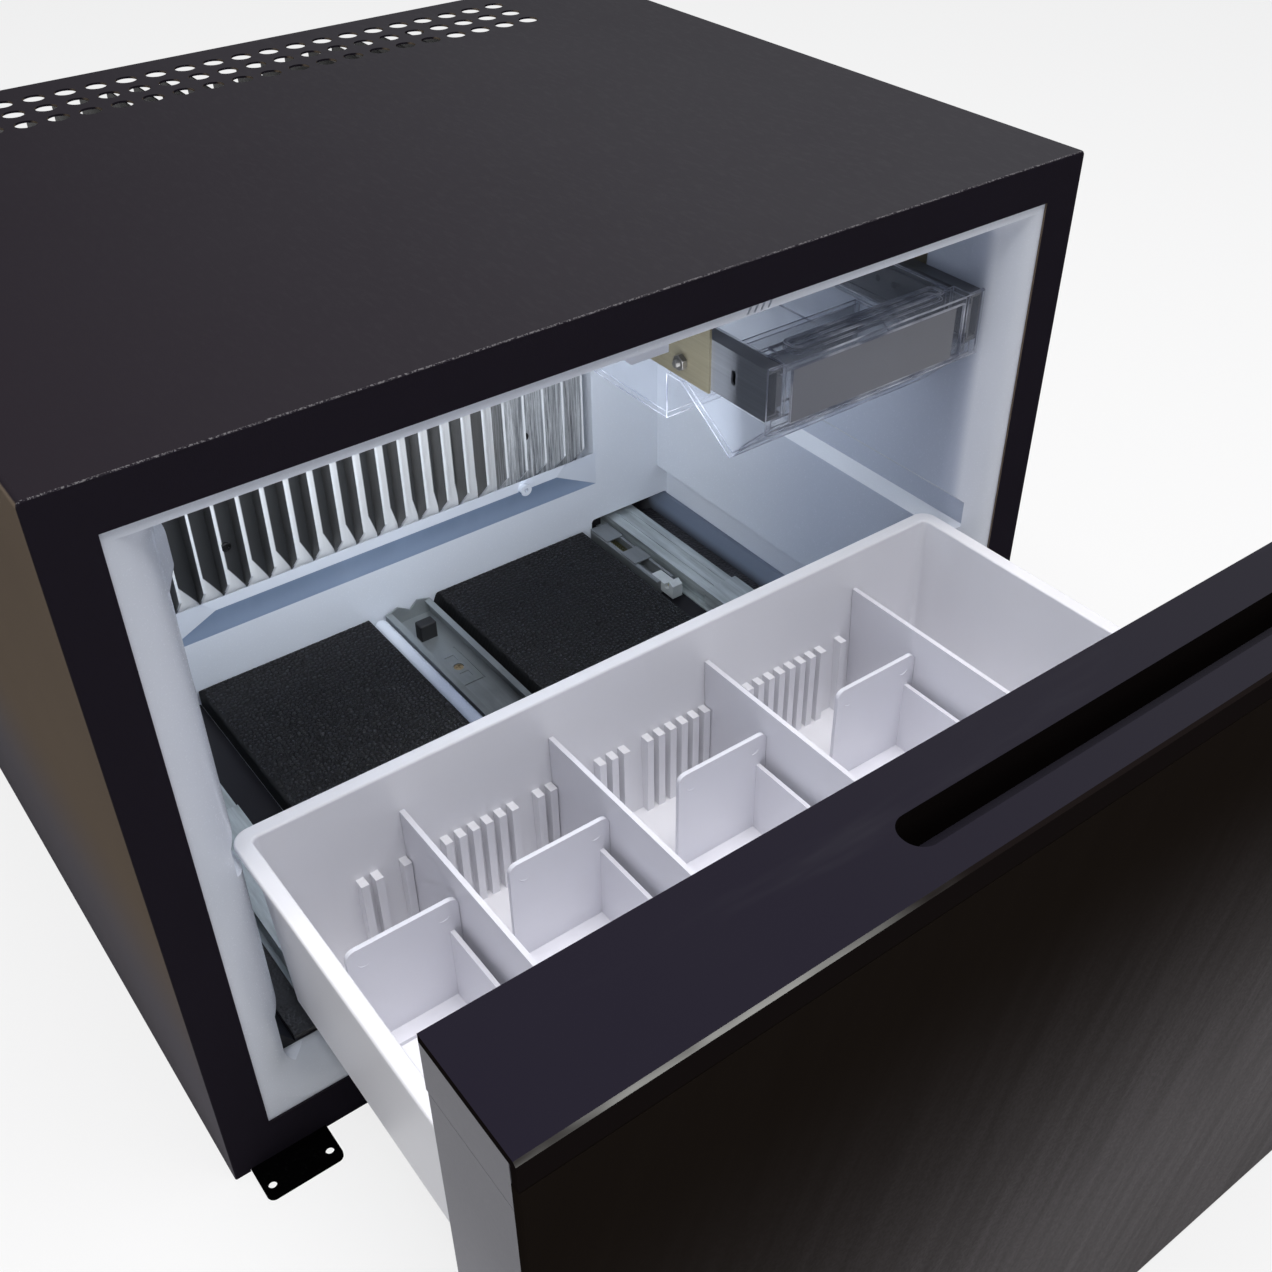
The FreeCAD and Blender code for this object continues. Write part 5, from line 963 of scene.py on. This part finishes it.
def clear_plastic():
    """Opacity from the angle of view: next to nothing face on, solid only when edge on."""
    g = Graph("clear_plastic")
    haze = g.noise(120.0, 3.0)
    edge_on = g.node("ShaderNodeLayerWeight", None, {"Blend": 0.5}, out="Facing") ** 5.0
    return g.surface(g.mix(haze, (0.32, 0.35, 0.42), (0.44, 0.48, 0.57)), 0.06 + 0.05 * haze,
                     g.bump(haze, 0.0002, 0.1), Specular_IOR_Level=0.3,
                     Alpha=0.10 + 0.55 * edge_on + 0.03 * haze)


def painted_edge_light():
    """Painted light: the edges carry it in long runs, brighter and darker by turns."""
    g = Graph("painted_edge_light")
    run = g.noise(42.0, 3.0, 0.6)
    # painted light: the pale runs stand in for light gathered in the edges
    return g.surface(g.mix(run.step(0.4, 0.7), (0.16, 0.18, 0.25), (0.72, 0.74, 0.82)), 0.3,
                     g.bump(run, 0.0002, 0.1), Alpha=0.5 + 0.4 * run)


def satin_panel():
    """Grey panel behind the tray's front, matt and not quite opaque."""
    g = Graph("satin_panel")
    haze = g.noise(900.0, 2.0)
    drift = g.noise(14.0, 2.0)
    return g.surface(g.mix(drift, (0.17, 0.175, 0.20), (0.23, 0.235, 0.26)), 0.42 + 0.2 * haze,
                     g.bump(haze, 0.0002, 0.4), Alpha=0.85)


SHORTEST_EDGE, EDGE_INSET = 0.0002, 1.2


def sharp_edges(name, least):
    """Ends in millimetres and the sum of both faces' normals, for edges turned past least."""
    work = bmesh.new()
    work.from_mesh(nodes[name].data)
    bmesh.ops.remove_doubles(work, verts=work.verts, dist=1e-6)
    found = [(*edge.verts[0].co, *edge.verts[1].co,
              *(edge.link_faces[0].normal + edge.link_faces[1].normal))
             for edge in work.edges if len(edge.link_faces) == 2
             and edge.calc_face_angle(0.0) > math.radians(least)
             and edge.calc_length() > SHORTEST_EDGE]
    work.free()
    table = np.array(found)
    return table[:, 0:3] * 1000.0, table[:, 3:6] * 1000.0, table[:, 6:9]


def edge_tubes(start, end, out, radius):
    """All edges at once: four rings along each, of radius 0, r, r, 0, moved inwards from the
    corner by a little more than r."""
    axis = end - start
    axis /= np.linalg.norm(axis, axis=1, keepdims=True)
    out = out / np.linalg.norm(out, axis=1, keepdims=True)
    wide = np.cross(axis, out)
    around = np.linspace(0.0, 2.0 * np.pi, 6, endpoint=False)[None, :, None]
    ring = np.cos(around) * wide[:, None, :] + np.sin(around) * out[:, None, :]
    shift = (out * radius * EDGE_INSET)[:, None, None, :]
    reach = np.array([0.0, radius, radius, 0.0])[None, :, None, None]
    along = np.array([0.0, 0.0, 1.0, 1.0])[None, :, None, None]
    spine = start[:, None, None, :] + along * (end - start)[:, None, None, :]
    return spine - shift + reach * ring[:, None, :, :]


EDGE_RADIUS = 0.32
painted_edge_shine = painted_edge_light()
for tray_node in ("snack_tray", "tray_front"):
    tubes = edge_tubes(*sharp_edges(tray_node, 30.0), EDGE_RADIUS)
    surface_piece(tray_node + "_edges", [(tube, False, True) for tube in tubes], painted_edge_shine,
                  "snack_tray", 60.0)
dress(clear_plastic(), "snack_tray", "tray_front")
dress(satin_panel(), "tray_panel")

# %% [markdown]
# The cooling unit behind the box is welded from steel tube and sprayed black as a whole, with
# dust on it. The foam shows only at the back, and the catch is a pale grey moulding. None of
# them stands out in the photograph, so each has a plain finish from one or two noises. The last
# lines make sure that no solid is left in the colour that it came with.

# %% Cooling unit, foam and catch


def unit_lacquer():
    """Sprayed black, with grey dust where a surface looks up."""
    g = Graph("unit_lacquer")
    grain = g.noise(600.0, 2.0)
    dust = g.noise(30.0, 4.0)
    settled = g.facing("Z").step(0.4, 0.9) * dust
    colour = g.mix(settled, (0.012, 0.012, 0.013), (0.09, 0.086, 0.08))
    return g.surface(colour, 0.45 + 0.25 * grain, g.bump(grain, 0.0002, 0.3))


def foam_core():
    """Open yellow foam."""
    g = Graph("foam_core")
    cell = g.cells(900.0)
    return g.surface(g.mix(cell, (0.62, 0.52, 0.30), (0.78, 0.70, 0.48)), 0.85,
                     g.bump(cell, 0.0005, 0.5))


def grey_moulding():
    """Plain pale grey plastic."""
    g = Graph("grey_moulding")
    grain = g.noise(500.0, 2.0)
    return g.surface(g.mix(grain, (0.42, 0.45, 0.46), (0.54, 0.57, 0.58)), 0.4,
                     g.bump(grain, 0.0001, 0.3))


dress(unit_lacquer(), "boiler_jacket", "condenser_tube", "condenser_fins", "absorber",
      "control_box", "mains_inlet")
dress(foam_core(), "foam_insulation")
dress(grey_moulding(), "softclose_catch")
replaced = {"floor_pad_left", "floor_pad_right", "fixing_screws", "tray_bolts"}
print("solids without a finish:", sorted(set(nodes) - dressed - replaced))
